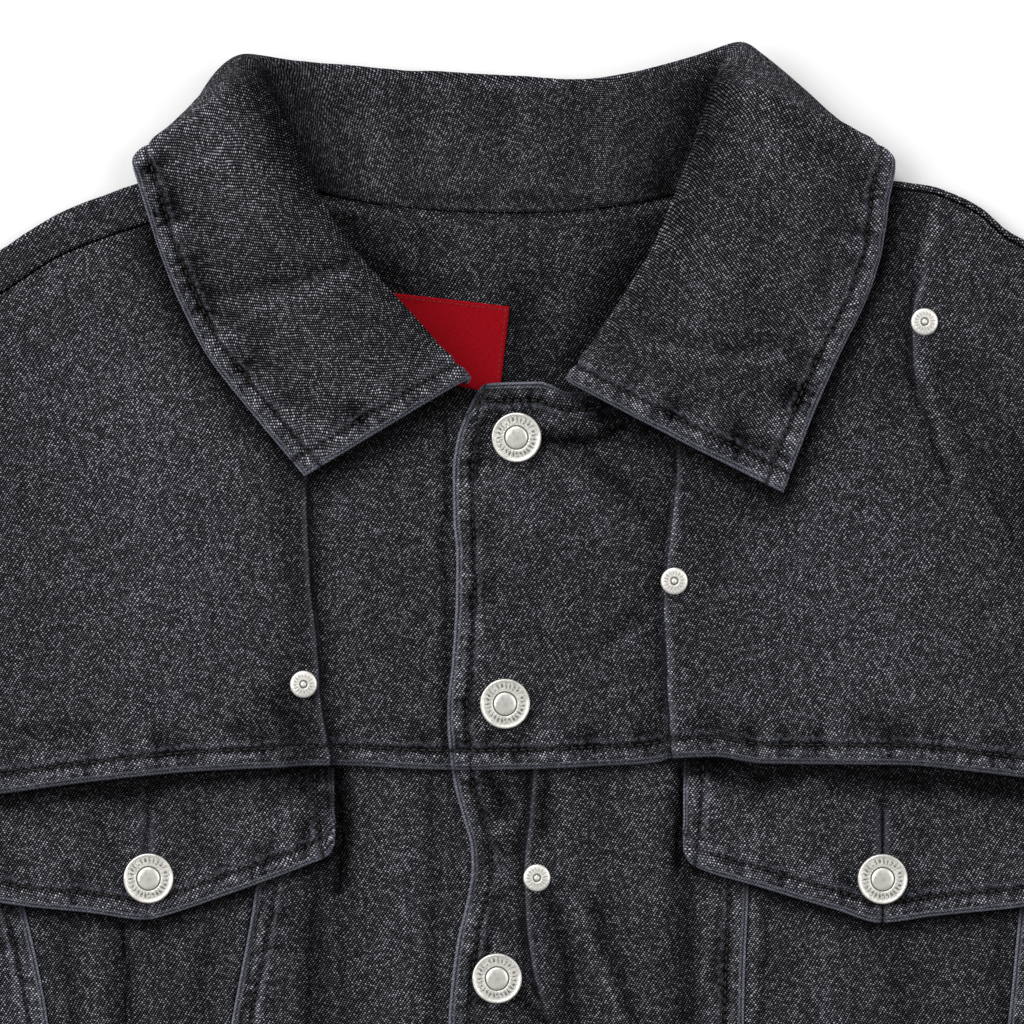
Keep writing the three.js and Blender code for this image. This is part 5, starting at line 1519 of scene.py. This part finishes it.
@dataclass
class Disc:
    """A round metal piece turned about its axis, such as a tack button or a rivet.

    Attributes:
        profile: Radius and height, from the rim of the base to the top.
        segments: Round the axis.
    """

    profile: Sequence[tuple[float, float]]
    segments: int = 64

    def model(self, name: str) -> bpy.types.Object:
        """Model the disc round the origin, by extruding and scaling its top face.

        Args:
            name: Of the object.

        Returns:
            The object, in metres.
        """
        bpy.ops.object.select_all(action="DESELECT")
        radius, height = self.profile[0]
        bpy.ops.mesh.primitive_circle_add(vertices=self.segments, radius=radius * MM, fill_type="NGON")
        disc = bpy.context.object
        disc.name = name
        bpy.ops.object.mode_set(mode="EDIT")
        bpy.ops.mesh.select_all(action="SELECT")
        for next_radius, next_height in self.profile[1:]:
            rise = (next_height - height) * MM
            bpy.ops.mesh.extrude_region_move(TRANSFORM_OT_translate={"value": (0, 0, rise)})
            share = next_radius / radius
            bpy.ops.transform.resize(value=(share, share, 1), center_override=(0, 0, next_height * MM))
            radius, height = next_radius, next_height
        bpy.ops.mesh.select_all(action="SELECT")
        bpy.ops.mesh.normals_make_consistent(inside=False)
        bpy.ops.object.mode_set(mode="OBJECT")
        disc.data.polygons.foreach_set("use_smooth", np.ones(len(disc.data.polygons), bool))
        return disc

    def place(self, model: bpy.types.Object, node: str, material: bpy.types.Material,
              tilt: tuple[float, float] = (0, 0)) -> bpy.types.Object:
        """Put a copy of the model where a node is.

        Args:
            model: The disc at the origin.
            node: The node that it stands for.
            material: Its finish.
            tilt: Its slope along x and y.

        Returns:
            The copy.
        """
        low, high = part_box(node)
        centre = Vector(((low.x + high.x) / 2, (low.y + high.y) / 2, low.z))
        mesh = model.data.copy()
        local = np.array([v.co for v in mesh.vertices])
        layer = mesh.attributes.new("disc", "FLOAT_VECTOR", "POINT")
        marked = local.copy()
        marked[:, 2] = max(radius for radius, _ in self.profile) * MM
        layer.data.foreach_set("vector", marked.astype(np.float32).ravel())
        lean = Matrix.Rotation(tilt[0], 4, "Y") @ Matrix.Rotation(tilt[1], 4, "X")
        mesh.transform(Matrix.Translation(centre) @ lean)
        piece = bpy.data.objects.new(f"{node}_metal", mesh)
        bpy.context.scene.collection.objects.link(piece)
        piece.data.materials.clear()
        piece.data.materials.append(material)
        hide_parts(node)
        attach(piece, "root")
        return piece


TACK_BUTTON = Disc(
    [
        (7.6, 0), (8.2, 0.15), (8.5, 0.7), (8.5, 1.6), (8.38, 2.0), (8.1, 2.2), (7.8, 2.14), (7.5, 1.95),
        (6.6, 2.0), (5.4, 2.05), (4.5, 2.06), (4.25, 1.95), (4.12, 1.5), (3.92, 1.5), (3.82, 2.0),
        (3.6, 2.2), (3.2, 2.36), (2.4, 2.44), (1.2, 2.48), (0.3, 2.49),
    ]
)
RIVET = Disc(
    [
        (4.2, 0), (4.6, 0.2), (4.65, 0.7), (4.45, 1.2), (4.1, 1.42), (3.2, 1.5), (2.2, 1.56), (1.2, 1.6),
        (0.95, 1.66), (0.8, 1.86), (0.5, 1.96), (0.2, 1.98),
    ],
    40,
)


class Graph:
    """Adds shader nodes to a tree and joins them."""

    def __init__(self, tree: bpy.types.NodeTree) -> None:
        """Keep the tree."""
        self.tree = tree

    def add(self, kind: str, inputs: dict | None = None, **settings: object) -> bpy.types.Node:
        """Add a node.

        Args:
            kind: Its type.
            inputs: A value or a socket for each input, by name or number.
            settings: Its other settings.

        Returns:
            The node.
        """
        node = self.tree.nodes.new(kind)
        for name, value in settings.items():
            setattr(node, name, value)
        return self.fill(node, inputs or {})

    def fill(self, node: bpy.types.Node, inputs: dict) -> bpy.types.Node:
        """Join or set a node's inputs, by name or number, and return the node."""
        for name, value in inputs.items():
            if isinstance(value, bpy.types.NodeSocket):
                self.tree.links.new(value, node.inputs[name])
            else:
                node.inputs[name].default_value = value
        return node

    def math(self, operation: str, *values: object, clamp: bool = False) -> bpy.types.NodeSocket:
        """Return the result of a Math node."""
        return self.add("ShaderNodeMath", dict(enumerate(values)), operation=operation, use_clamp=clamp).outputs[0]

    def times(self, first: object, second: object) -> bpy.types.NodeSocket:
        """Return the product of two values."""
        return self.math("MULTIPLY", first, second)

    def times_add(self, first: object, second: object, more: object) -> bpy.types.NodeSocket:
        """Return the product of two values and a third added to it."""
        return self.math("MULTIPLY_ADD", first, second, more)

    def larger(self, first: object, second: object) -> bpy.types.NodeSocket:
        """Return the larger of two values."""
        return self.math("MAXIMUM", first, second)

    def step(self, value: object, start: float, stop: float, low: float = 0, high: float = 1) -> bpy.types.NodeSocket:
        """Return a smooth step from low to high."""
        inputs = {"Value": value, "From Min": start, "From Max": stop, "To Min": low, "To Max": high}
        return self.add("ShaderNodeMapRange", inputs, interpolation_type="SMOOTHSTEP").outputs["Result"]

    def bell(self, value: object, centre: float, half: float) -> bpy.types.NodeSocket:
        """Return a bell that is 1 at its centre."""
        off = self.math("DIVIDE", self.math("SUBTRACT", value, centre), half)
        return self.math("EXPONENT", self.math("MULTIPLY", self.math("MULTIPLY", off, off), -1.0))

    def mix(self, share: object, first: object, second: object, blend: str = "MIX") -> bpy.types.NodeSocket:
        """Return a mix of two colours."""
        node = self.add("ShaderNodeMix", {0: share, 6: first, 7: second}, data_type="RGBA", blend_type=blend)
        return node.outputs[2]

    def noise(self, vector: object, scale: float, detail: float = 2, roughness: float = 0.5) -> bpy.types.NodeSocket:
        """Return a noise from 0 to 1."""
        inputs = {"Vector": vector, "Scale": scale, "Detail": detail, "Roughness": roughness}
        return self.add("ShaderNodeTexNoise", inputs).outputs["Fac"]

    def group(self, tree: bpy.types.NodeTree, inputs: dict) -> bpy.types.Node:
        """Place a node group."""
        node = self.tree.nodes.new("ShaderNodeGroup")
        node.node_tree = tree
        return self.fill(node, inputs)

    def attribute(self, name: str) -> bpy.types.NodeSocket:
        """Return the vector of an attribute."""
        return self.add("ShaderNodeAttribute", attribute_name=name).outputs["Vector"]


def new_material(name: str) -> tuple[bpy.types.Material, Graph, bpy.types.Node]:
    """Return a new material, its graph and its shader."""
    material = bpy.data.materials.new(name)
    material.use_nodes = True
    return material, Graph(material.node_tree), material.node_tree.nodes["Principled BSDF"]


def new_group(name: str, inputs: dict[str, tuple[str, object]], outputs: Sequence[str]) -> tuple:
    """Make an empty shader node group.

    Args:
        name: Of the group.
        inputs: The kind and usual value of each input.
        outputs: The names of its values.

    Returns:
        The tree, its graph, its input node and its output node.
    """
    tree = bpy.data.node_groups.new(name, "ShaderNodeTree")
    for label, (kind, value) in inputs.items():
        socket = tree.interface.new_socket(label, in_out="INPUT", socket_type=kind)
        if value is not None:
            socket.default_value = value
    for label in outputs:
        tree.interface.new_socket(label, in_out="OUTPUT", socket_type="NodeSocketFloat")
    graph = Graph(tree)
    return tree, graph, tree.nodes.new("NodeGroupInput"), tree.nodes.new("NodeGroupOutput")


def twill_group() -> bpy.types.NodeTree:
    """Make the weave of denim: diagonal ridges of dark warp with a speck of light weft at each crossing.

    Returns:
        The group, which reads places across and along the ridges in metres.
    """
    tree, graph, given, out = new_group(
        "twill",
        {
            "Weave": ("NodeSocketVector", None),
            "Pitch": ("NodeSocketFloat", 1.2),
            "Step": ("NodeSocketFloat", 0.7),
        },
        ["Ridge", "Specks", "Mottle", "Grain", "Height"],
    )
    mm = graph.add("ShaderNodeVectorMath", {0: given.outputs["Weave"], 3: 1000.0}, operation="SCALE").outputs[0]
    parts = graph.add("ShaderNodeSeparateXYZ", {0: mm}).outputs
    wave = graph.times(graph.math("SUBTRACT", graph.noise(mm, 0.1, 2), 0.5), 2.4)
    across = graph.math("DIVIDE", graph.math("ADD", parts["X"], wave), given.outputs["Pitch"])
    line = graph.math("FLOOR", across)
    shift = graph.times(line, 0.5)
    along = graph.math("ADD", graph.math("DIVIDE", parts["Y"], given.outputs["Step"]), shift)
    knot = graph.math("FLOOR", along)
    cell = graph.add("ShaderNodeCombineXYZ", {0: line, 1: knot}).outputs[0]
    chance = graph.add("ShaderNodeTexWhiteNoise", {"Vector": cell}, noise_dimensions="2D").outputs["Value"]
    ridge = graph.bell(graph.math("FRACT", across), 0.5, 0.25)
    bead = graph.bell(graph.math("FRACT", along), 0.5, 0.21)
    usual = graph.times_add(chance, 0.2, 0.12)
    size = graph.times_add(graph.math("POWER", chance, 4.0), 0.52, usual)
    specks = graph.times(graph.times(ridge, bead), size)
    mottle = graph.noise(mm, 0.11, 3, 0.55)
    grain = graph.noise(mm, 3.4, 2, 0.7)
    height = graph.times_add(graph.times(ridge, bead), 0.5, graph.times(ridge, 0.5))
    graph.fill(out, {"Ridge": ridge, "Specks": specks, "Mottle": mottle, "Grain": grain, "Height": height})
    return tree


def seam_group() -> bpy.types.NodeTree:
    """Make the worn edge and the band beside a seam, with painted highlight on its puffs and painted shade in the
    groove and the line of stitches.

    Returns:
        The group, which reads the place along the edge, the distance from it and how far it is stitched.
    """
    tree, graph, given, out = new_group(
        "stitched_edge", {"Place": ("NodeSocketVector", None)}, ["WearAndHighlight", "PaintedShade", "Band", "Height"]
    )
    parts = graph.add("ShaderNodeSeparateXYZ", {0: given.outputs["Place"]}).outputs
    run = graph.times(parts["X"], 1000.0)
    away = graph.times(parts["Y"], 1000.0)
    on = parts["Z"]
    place = graph.add("ShaderNodeCombineXYZ", {0: run, 1: away}).outputs[0]
    patch = graph.noise(place, 0.55, 3, 0.6)
    turns = graph.math("SINE", graph.times_add(run, 5.2, graph.times(away, 4.0)))
    twist = graph.step(turns, -0.7, 0.7, 0.5, 1.0)
    rim = graph.times(graph.bell(away, 0.5, 0.6), graph.step(patch, 0.15, 0.6, 0.85, 1.35))
    rim = graph.times(rim, twist)
    strand = graph.times(graph.bell(away, 1.85, 0.38), graph.step(patch, 0.3, 0.65, 0.35, 0.95))
    strand = graph.times(strand, twist)
    second = graph.times(graph.bell(away, 4.0, 0.7), graph.step(patch, 0.42, 0.7, 0, 0.4))
    # Painted highlight on the puffs beside the stitches.
    puff = graph.times(graph.bell(away, STITCH_IN + 2.2, 0.9), graph.step(patch, 0.38, 0.7, 0, 0.5))
    wear_and_highlight = graph.larger(graph.larger(rim, strand), graph.larger(second, puff))
    wear_and_highlight = graph.times(wear_and_highlight, on)
    pits = graph.times_add(graph.math("SINE", graph.times(run, 2 * math.pi / STITCH_PITCH)), 0.1, 0.9)
    # Painted shade in the pinched line of stitches.
    painted_shade_mask = graph.times(graph.times(graph.bell(away, STITCH_IN, 1.3), pits), on)
    # Painted shade in the groove beside the worn rim.
    groove = graph.times(graph.bell(away, 1.15, 0.25), graph.times(on, 0.6))
    inside = graph.times(graph.times(graph.step(away, 6.2, 5.2), graph.step(away, 1.6, 2.4)), on)
    # Lighter and darker patches along the band: fading, with painted light and shade on its puckers.
    spots = graph.noise(graph.add("ShaderNodeCombineXYZ", {0: run}).outputs[0], 0.28, 2)
    band = graph.times(graph.step(spots, 0.3, 0.65, -0.45, 1.1), inside)
    height = graph.math("SUBTRACT", graph.times(rim, 0.5), painted_shade_mask)
    painted_shade_mask = graph.larger(painted_shade_mask, groove)
    graph.fill(out, {"WearAndHighlight": wear_and_highlight, "PaintedShade": painted_shade_mask, "Band": band, "Height": height})
    return tree


Colour = tuple[float, float, float, float]


@dataclass(frozen=True)
class Denim:
    """Charcoal denim with lighter weft and worn seam edges, with painted shade and painted highlight from its marks
    and seams.
    """

    shade: Colour = (0.0003, 0.0003, 0.0003, 1)
    warp: Colour = (0.0012, 0.0012, 0.0018, 1)
    weft: Colour = (0.885, 0.885, 1.0, 1)
    worn: Colour = (0.24, 0.25, 0.31, 1)
    pitch: float = 0.92
    step: float = 0.74

    def build(self, name: str, twill: bpy.types.NodeTree, seam: bpy.types.NodeTree) -> bpy.types.Material:
        """Make the material.

        Args:
            name: Of the material.
            twill: The weave's group.
            seam: The stitched edge's group.

        Returns:
            The material.
        """
        material, graph, shader = new_material(name)
        given = {"Weave": graph.attribute("weave"), "Pitch": self.pitch, "Step": self.step}
        weave = graph.group(twill, given).outputs
        rows = graph.group(seam, {"Place": graph.attribute("rowseam")}).outputs
        columns = graph.group(seam, {"Place": graph.attribute("colseam")}).outputs
        marks = graph.add("ShaderNodeSeparateXYZ", {0: graph.attribute("marks")}).outputs
        # Worn edges and creases, with painted highlight on the puffs beside the seams.
        wear_and_highlight = graph.larger(graph.larger(rows["WearAndHighlight"], columns["WearAndHighlight"]), marks["X"])
        # Painted shade from the seams' stitch lines and grooves and from the marks.
        painted_shade_mask = graph.larger(graph.larger(rows["PaintedShade"], columns["PaintedShade"]), marks["Y"])
        # Random fading, with the painted light and shade of the marks and of the seam bands.
        fade_and_painted_light = graph.times_add(graph.math("SUBTRACT", weave["Mottle"], 0.5), 0.6, 1.0)
        fade_and_painted_light = graph.math("ADD", fade_and_painted_light, marks["Z"])
        band = graph.math("ADD", rows["Band"], columns["Band"])
        fade_and_painted_light = graph.larger(graph.math("ADD", band, fade_and_painted_light), 0.12)
        ridge = graph.times_add(weave["Ridge"], 0.7, 0.3)
        tone = graph.times(graph.step(weave["Grain"], 0.3, 0.75), ridge)
        colour = graph.mix(graph.times(tone, fade_and_painted_light), self.shade, self.warp)
        specks = graph.times(weave["Specks"], fade_and_painted_light)
        specks = graph.math("MULTIPLY", specks, graph.step(weave["Grain"], 0.2, 0.7, 0.7, 1.1), clamp=True)
        colour = graph.mix(specks, colour, self.weft)
        # Worn colour over the wear and the painted highlights.
        rubbed_and_highlit = graph.times(wear_and_highlight, graph.step(weave["Grain"], 0.3, 0.7, 0.25, 1.0))
        colour = graph.mix(rubbed_and_highlit, colour, self.worn)
        # Painted shade, mixed towards the darkest colour.
        colour = graph.mix(graph.times(painted_shade_mask, 0.94), colour, self.shade)
        height = graph.times_add(rows["Height"], 0.9, weave["Height"])
        height = graph.times_add(columns["Height"], 0.9, height)
        bump = graph.add("ShaderNodeBump", {"Height": height, "Strength": 0.8, "Distance": 0.0003})
        graph.fill(shader, {"Base Color": colour, "Normal": bump.outputs["Normal"]})
        shader.inputs["Roughness"].default_value = 1
        shader.inputs["Specular IOR Level"].default_value = 0
        return material


@dataclass(frozen=True)
class ThreadFinish:
    """Sewing thread with its twist."""

    colour: Colour
    light: Colour

    def build(self, name: str) -> bpy.types.Material:
        """Return the material."""
        material, graph, shader = new_material(name)
        place = graph.add("ShaderNodeTexCoord").outputs["Object"]
        fibre = graph.noise(place, 2600, 2)
        colour = graph.mix(fibre, self.colour, self.light)
        bump = graph.add("ShaderNodeBump", {"Height": fibre, "Strength": 0.6, "Distance": 0.0001})
        graph.fill(shader, {"Base Color": colour, "Normal": bump.outputs["Normal"]})
        shader.inputs["Roughness"].default_value = 0.75
        return material


@dataclass(frozen=True)
class Satin:
    """The red woven satin of the label."""

    colour: Colour = (0.31, 0.0026, 0.0075, 1)
    shade: Colour = (0.185, 0.0016, 0.005, 1)

    def build(self, name: str) -> bpy.types.Material:
        """Return the material."""
        material, graph, shader = new_material(name)
        mm = graph.add("ShaderNodeVectorMath", {0: graph.attribute("weave"), 3: 1000.0}, operation="SCALE").outputs[0]
        parts = graph.add("ShaderNodeSeparateXYZ", {0: mm}).outputs
        place = {0: graph.times(parts["X"], 3.0), 1: graph.times(parts["Y"], 0.5)}
        long = graph.add("ShaderNodeCombineXYZ", place)
        thread = graph.noise(long.outputs[0], 1.4, 3, 0.6)
        colour = graph.mix(graph.step(thread, 0.3, 0.7), self.shade, self.colour)
        bump = graph.add("ShaderNodeBump", {"Height": thread, "Strength": 0.4, "Distance": 0.0001})
        graph.fill(shader, {"Base Color": colour, "Normal": bump.outputs["Normal"]})
        shader.inputs["Roughness"].default_value = 0.8
        shader.inputs["Specular IOR Level"].default_value = 0.05
        return material


@dataclass(frozen=True)
class Nickel:
    """Antique nickel: bright on the rims, with a rough generic texture on the ring."""

    metal: Colour = (0.96, 0.935, 0.875, 1)
    tarnish: Colour = (0.10, 0.095, 0.084, 1)
    ring: tuple[float, float] = (4.4, 7.6)

    def build(self, name: str) -> bpy.types.Material:
        """Return the material."""
        material, graph, shader = new_material(name)
        mm = graph.add("ShaderNodeVectorMath", {0: graph.attribute("disc"), 3: 1000.0}, operation="SCALE").outputs[0]
        flat = graph.add("ShaderNodeVectorMath", {0: mm, 1: (1, 1, 0)}, operation="MULTIPLY").outputs[0]
        radius = graph.add("ShaderNodeVectorMath", {0: flat}, operation="LENGTH").outputs["Value"]
        parts = graph.add("ShaderNodeSeparateXYZ", {0: mm}).outputs
        angle = graph.math("ARCTAN2", parts["Y"], parts["X"])
        small = graph.step(parts["Z"], 6.5, 6.0)
        large = graph.math("SUBTRACT", 1.0, small)
        on_ring = graph.times(graph.step(radius, self.ring[0], self.ring[0] + 0.3),
                             graph.step(radius, self.ring[1], self.ring[1] - 0.3))
        on_ring = graph.times(on_ring, large)
        pits = graph.noise(mm, 1.1, 3, 0.6)
        ticks = graph.math("SINE", graph.times_add(angle, 27.0, graph.times(pits, 9.0)))
        ticks = graph.times(graph.step(ticks, -0.2, 0.4), graph.bell(radius, 6.0, 1.15))
        marks = graph.times(graph.times(ticks, graph.step(pits, 0.38, 0.5)), on_ring)
        groove = graph.times(graph.bell(radius, 4.02, 0.28), large)
        cloud = graph.noise(mm, 0.5, 3, 0.6)
        # Greyer towards the middle of the button face, with soft clouds.
        grey_centre = graph.times_add(graph.bell(radius, 0, 2.4), 0.42, graph.step(cloud, 0.42, 0.75, 0, 0.4))
        grey_centre = graph.times(grey_centre, large)
        rays = graph.times(graph.step(graph.math("SINE", graph.times(angle, 16.0)), 0.3, 0.9),
                          graph.bell(radius, 2.7, 0.8))
        rays = graph.larger(graph.times(rays, 0.55), graph.bell(radius, 1.25, 0.3))
        rays = graph.times(rays, small)
        rough = graph.math("SUBTRACT", 1.0, graph.larger(marks, rays))
        dull = graph.larger(graph.larger(marks, groove), graph.larger(rays, grey_centre))
        dull = graph.math("MINIMUM", dull, 1.0)
        colour = graph.mix(graph.times(dull, 0.92), self.metal, self.tarnish)
        height = graph.times_add(cloud, 0.3, rough)
        bump = graph.add("ShaderNodeBump", {"Height": height, "Strength": 0.9, "Distance": 0.0004})
        material.node_tree.links.new(colour, shader.inputs["Base Color"])
        material.node_tree.links.new(graph.step(dull, 0, 1, 0.38, 0.6), shader.inputs["Roughness"])
        material.node_tree.links.new(bump.outputs["Normal"], shader.inputs["Normal"])
        shader.inputs["Metallic"].default_value = 0.62
        return material


@dataclass
class Studio:
    """The pale floor, the soft lights and the camera.

    Attributes:
        field_width: Of the photograph on the cloth, in millimetres.
        centre: Of the photograph, in table millimetres.
        level: Height of the cloth that the camera measures.
        lens: Focal length.
        sensor: Width of the sensor.
    """

    field_width: float = 350
    centre: tuple[float, float] = (0.7, 0)
    level: float = 6
    lens: float = 200
    sensor: float = 36

    def make(self) -> None:
        """Set the stage."""
        self.camera()
        self.floor()
        self.light("soft_left", (-2.2, 0.9, 1.9), 2.2, 62)
        self.light("soft_right", (2.3, 0.6, 1.9), 2.2, 36)
        self.light("soft_from_collar", (-0.7, 2.2, 1.3), 1.0, 40)
        world = bpy.data.worlds.new("studio")
        world.use_nodes = True
        background = world.node_tree.nodes["Background"]
        background.inputs["Color"].default_value = (1, 1, 1, 1)
        background.inputs["Strength"].default_value = 0.26
        bpy.context.scene.world = world
        bpy.context.scene.view_settings.view_transform = "Standard"

    def camera(self) -> None:
        """Look straight down on the chest."""
        distance = self.field_width * MM * self.lens / self.sensor
        x, y = self.centre[0] * MM, (self.centre[1] + ORIGIN_Y) * MM
        bpy.ops.object.camera_add(location=(x, y, distance + self.level * MM), rotation=(0, 0, 0))
        camera = bpy.context.object
        camera.data.lens = self.lens
        camera.data.sensor_width = self.sensor
        bpy.context.scene.camera = camera

    def floor(self) -> None:
        """Lay the floor."""
        bpy.ops.object.select_all(action="DESELECT")
        bpy.ops.mesh.primitive_plane_add(size=8, location=(0, 0, -0.0012))
        floor = bpy.context.object
        floor.name = "floor"
        material, _, shader = new_material("pale_floor")
        shader.inputs["Base Color"].default_value = (0.9, 0.9, 0.9, 1)
        shader.inputs["Roughness"].default_value = 0.9
        floor.data.materials.append(material)

    def light(self, name: str, place: tuple[float, float, float], size: float, power: float) -> None:
        """Add a soft light that faces the chest.

        Args:
            name: Of the light.
            place: Where it hangs, in metres.
            size: Of its square.
            power: In watts.
        """
        bpy.ops.object.light_add(type="AREA", location=place)
        light = bpy.context.object
        light.name = name
        light.data.shape = "SQUARE"
        light.data.size = size
        light.data.energy = power
        aim = Vector((0, 0.15, 0)) - Vector(place)
        light.rotation_euler = aim.to_track_quat("-Z", "Y").to_euler()


def main() -> None:
    """Build the jacket and its studio."""
    logging.basicConfig(level=logging.INFO, format="%(message)s")
    Studio().make()
    twill, seam = twill_group(), seam_group()
    denim = Denim().build("charcoal_denim", twill, seam)
    satin = Satin().build("red_satin")
    thread = ThreadFinish((0.003, 0.003, 0.0035, 1), (0.012, 0.012, 0.014, 1)).build("charcoal_thread")
    red_thread = ThreadFinish((0.12, 0.002, 0.006, 1), (0.25, 0.004, 0.01, 1)).build("red_thread")
    stitching = Stitching()
    for assembly in (Back(), Fronts(), Waistband(), Sleeves(), Collar()):
        for cloth in assembly.make():
            piece = cloth.wall(denim)
            log.info("%s: %d faces", piece.name, len(piece.data.polygons))
            if cloth.stitched:
                rows = [cloth.line(edge, STITCH_IN) for edge in cloth.stitched]
                stitching.sew(f"{cloth.name}_stitches", rows, thread)
    for cloth in NeckLabel().make():
        piece = cloth.wall(satin)
        rows = [cloth.line(edge, 1.3) for edge in cloth.free]
        Stitching(1.9, 1.3, 0.5).sew("neck_label_stitches", rows, red_thread)
    nickel = Nickel().build("antique_nickel")
    button = TACK_BUTTON.model("tack_button")
    rivet = RIVET.model("rivet")
    for node in sorted(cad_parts):
        if "button" in node:
            TACK_BUTTON.place(button, node, nickel, TILTS.get(node, (0, 0)))
        elif node.startswith("rivet"):
            RIVET.place(rivet, node, nickel)
    for model in (button, rivet):
        bpy.data.objects.remove(model)


if __name__ == "__main__":
    main()
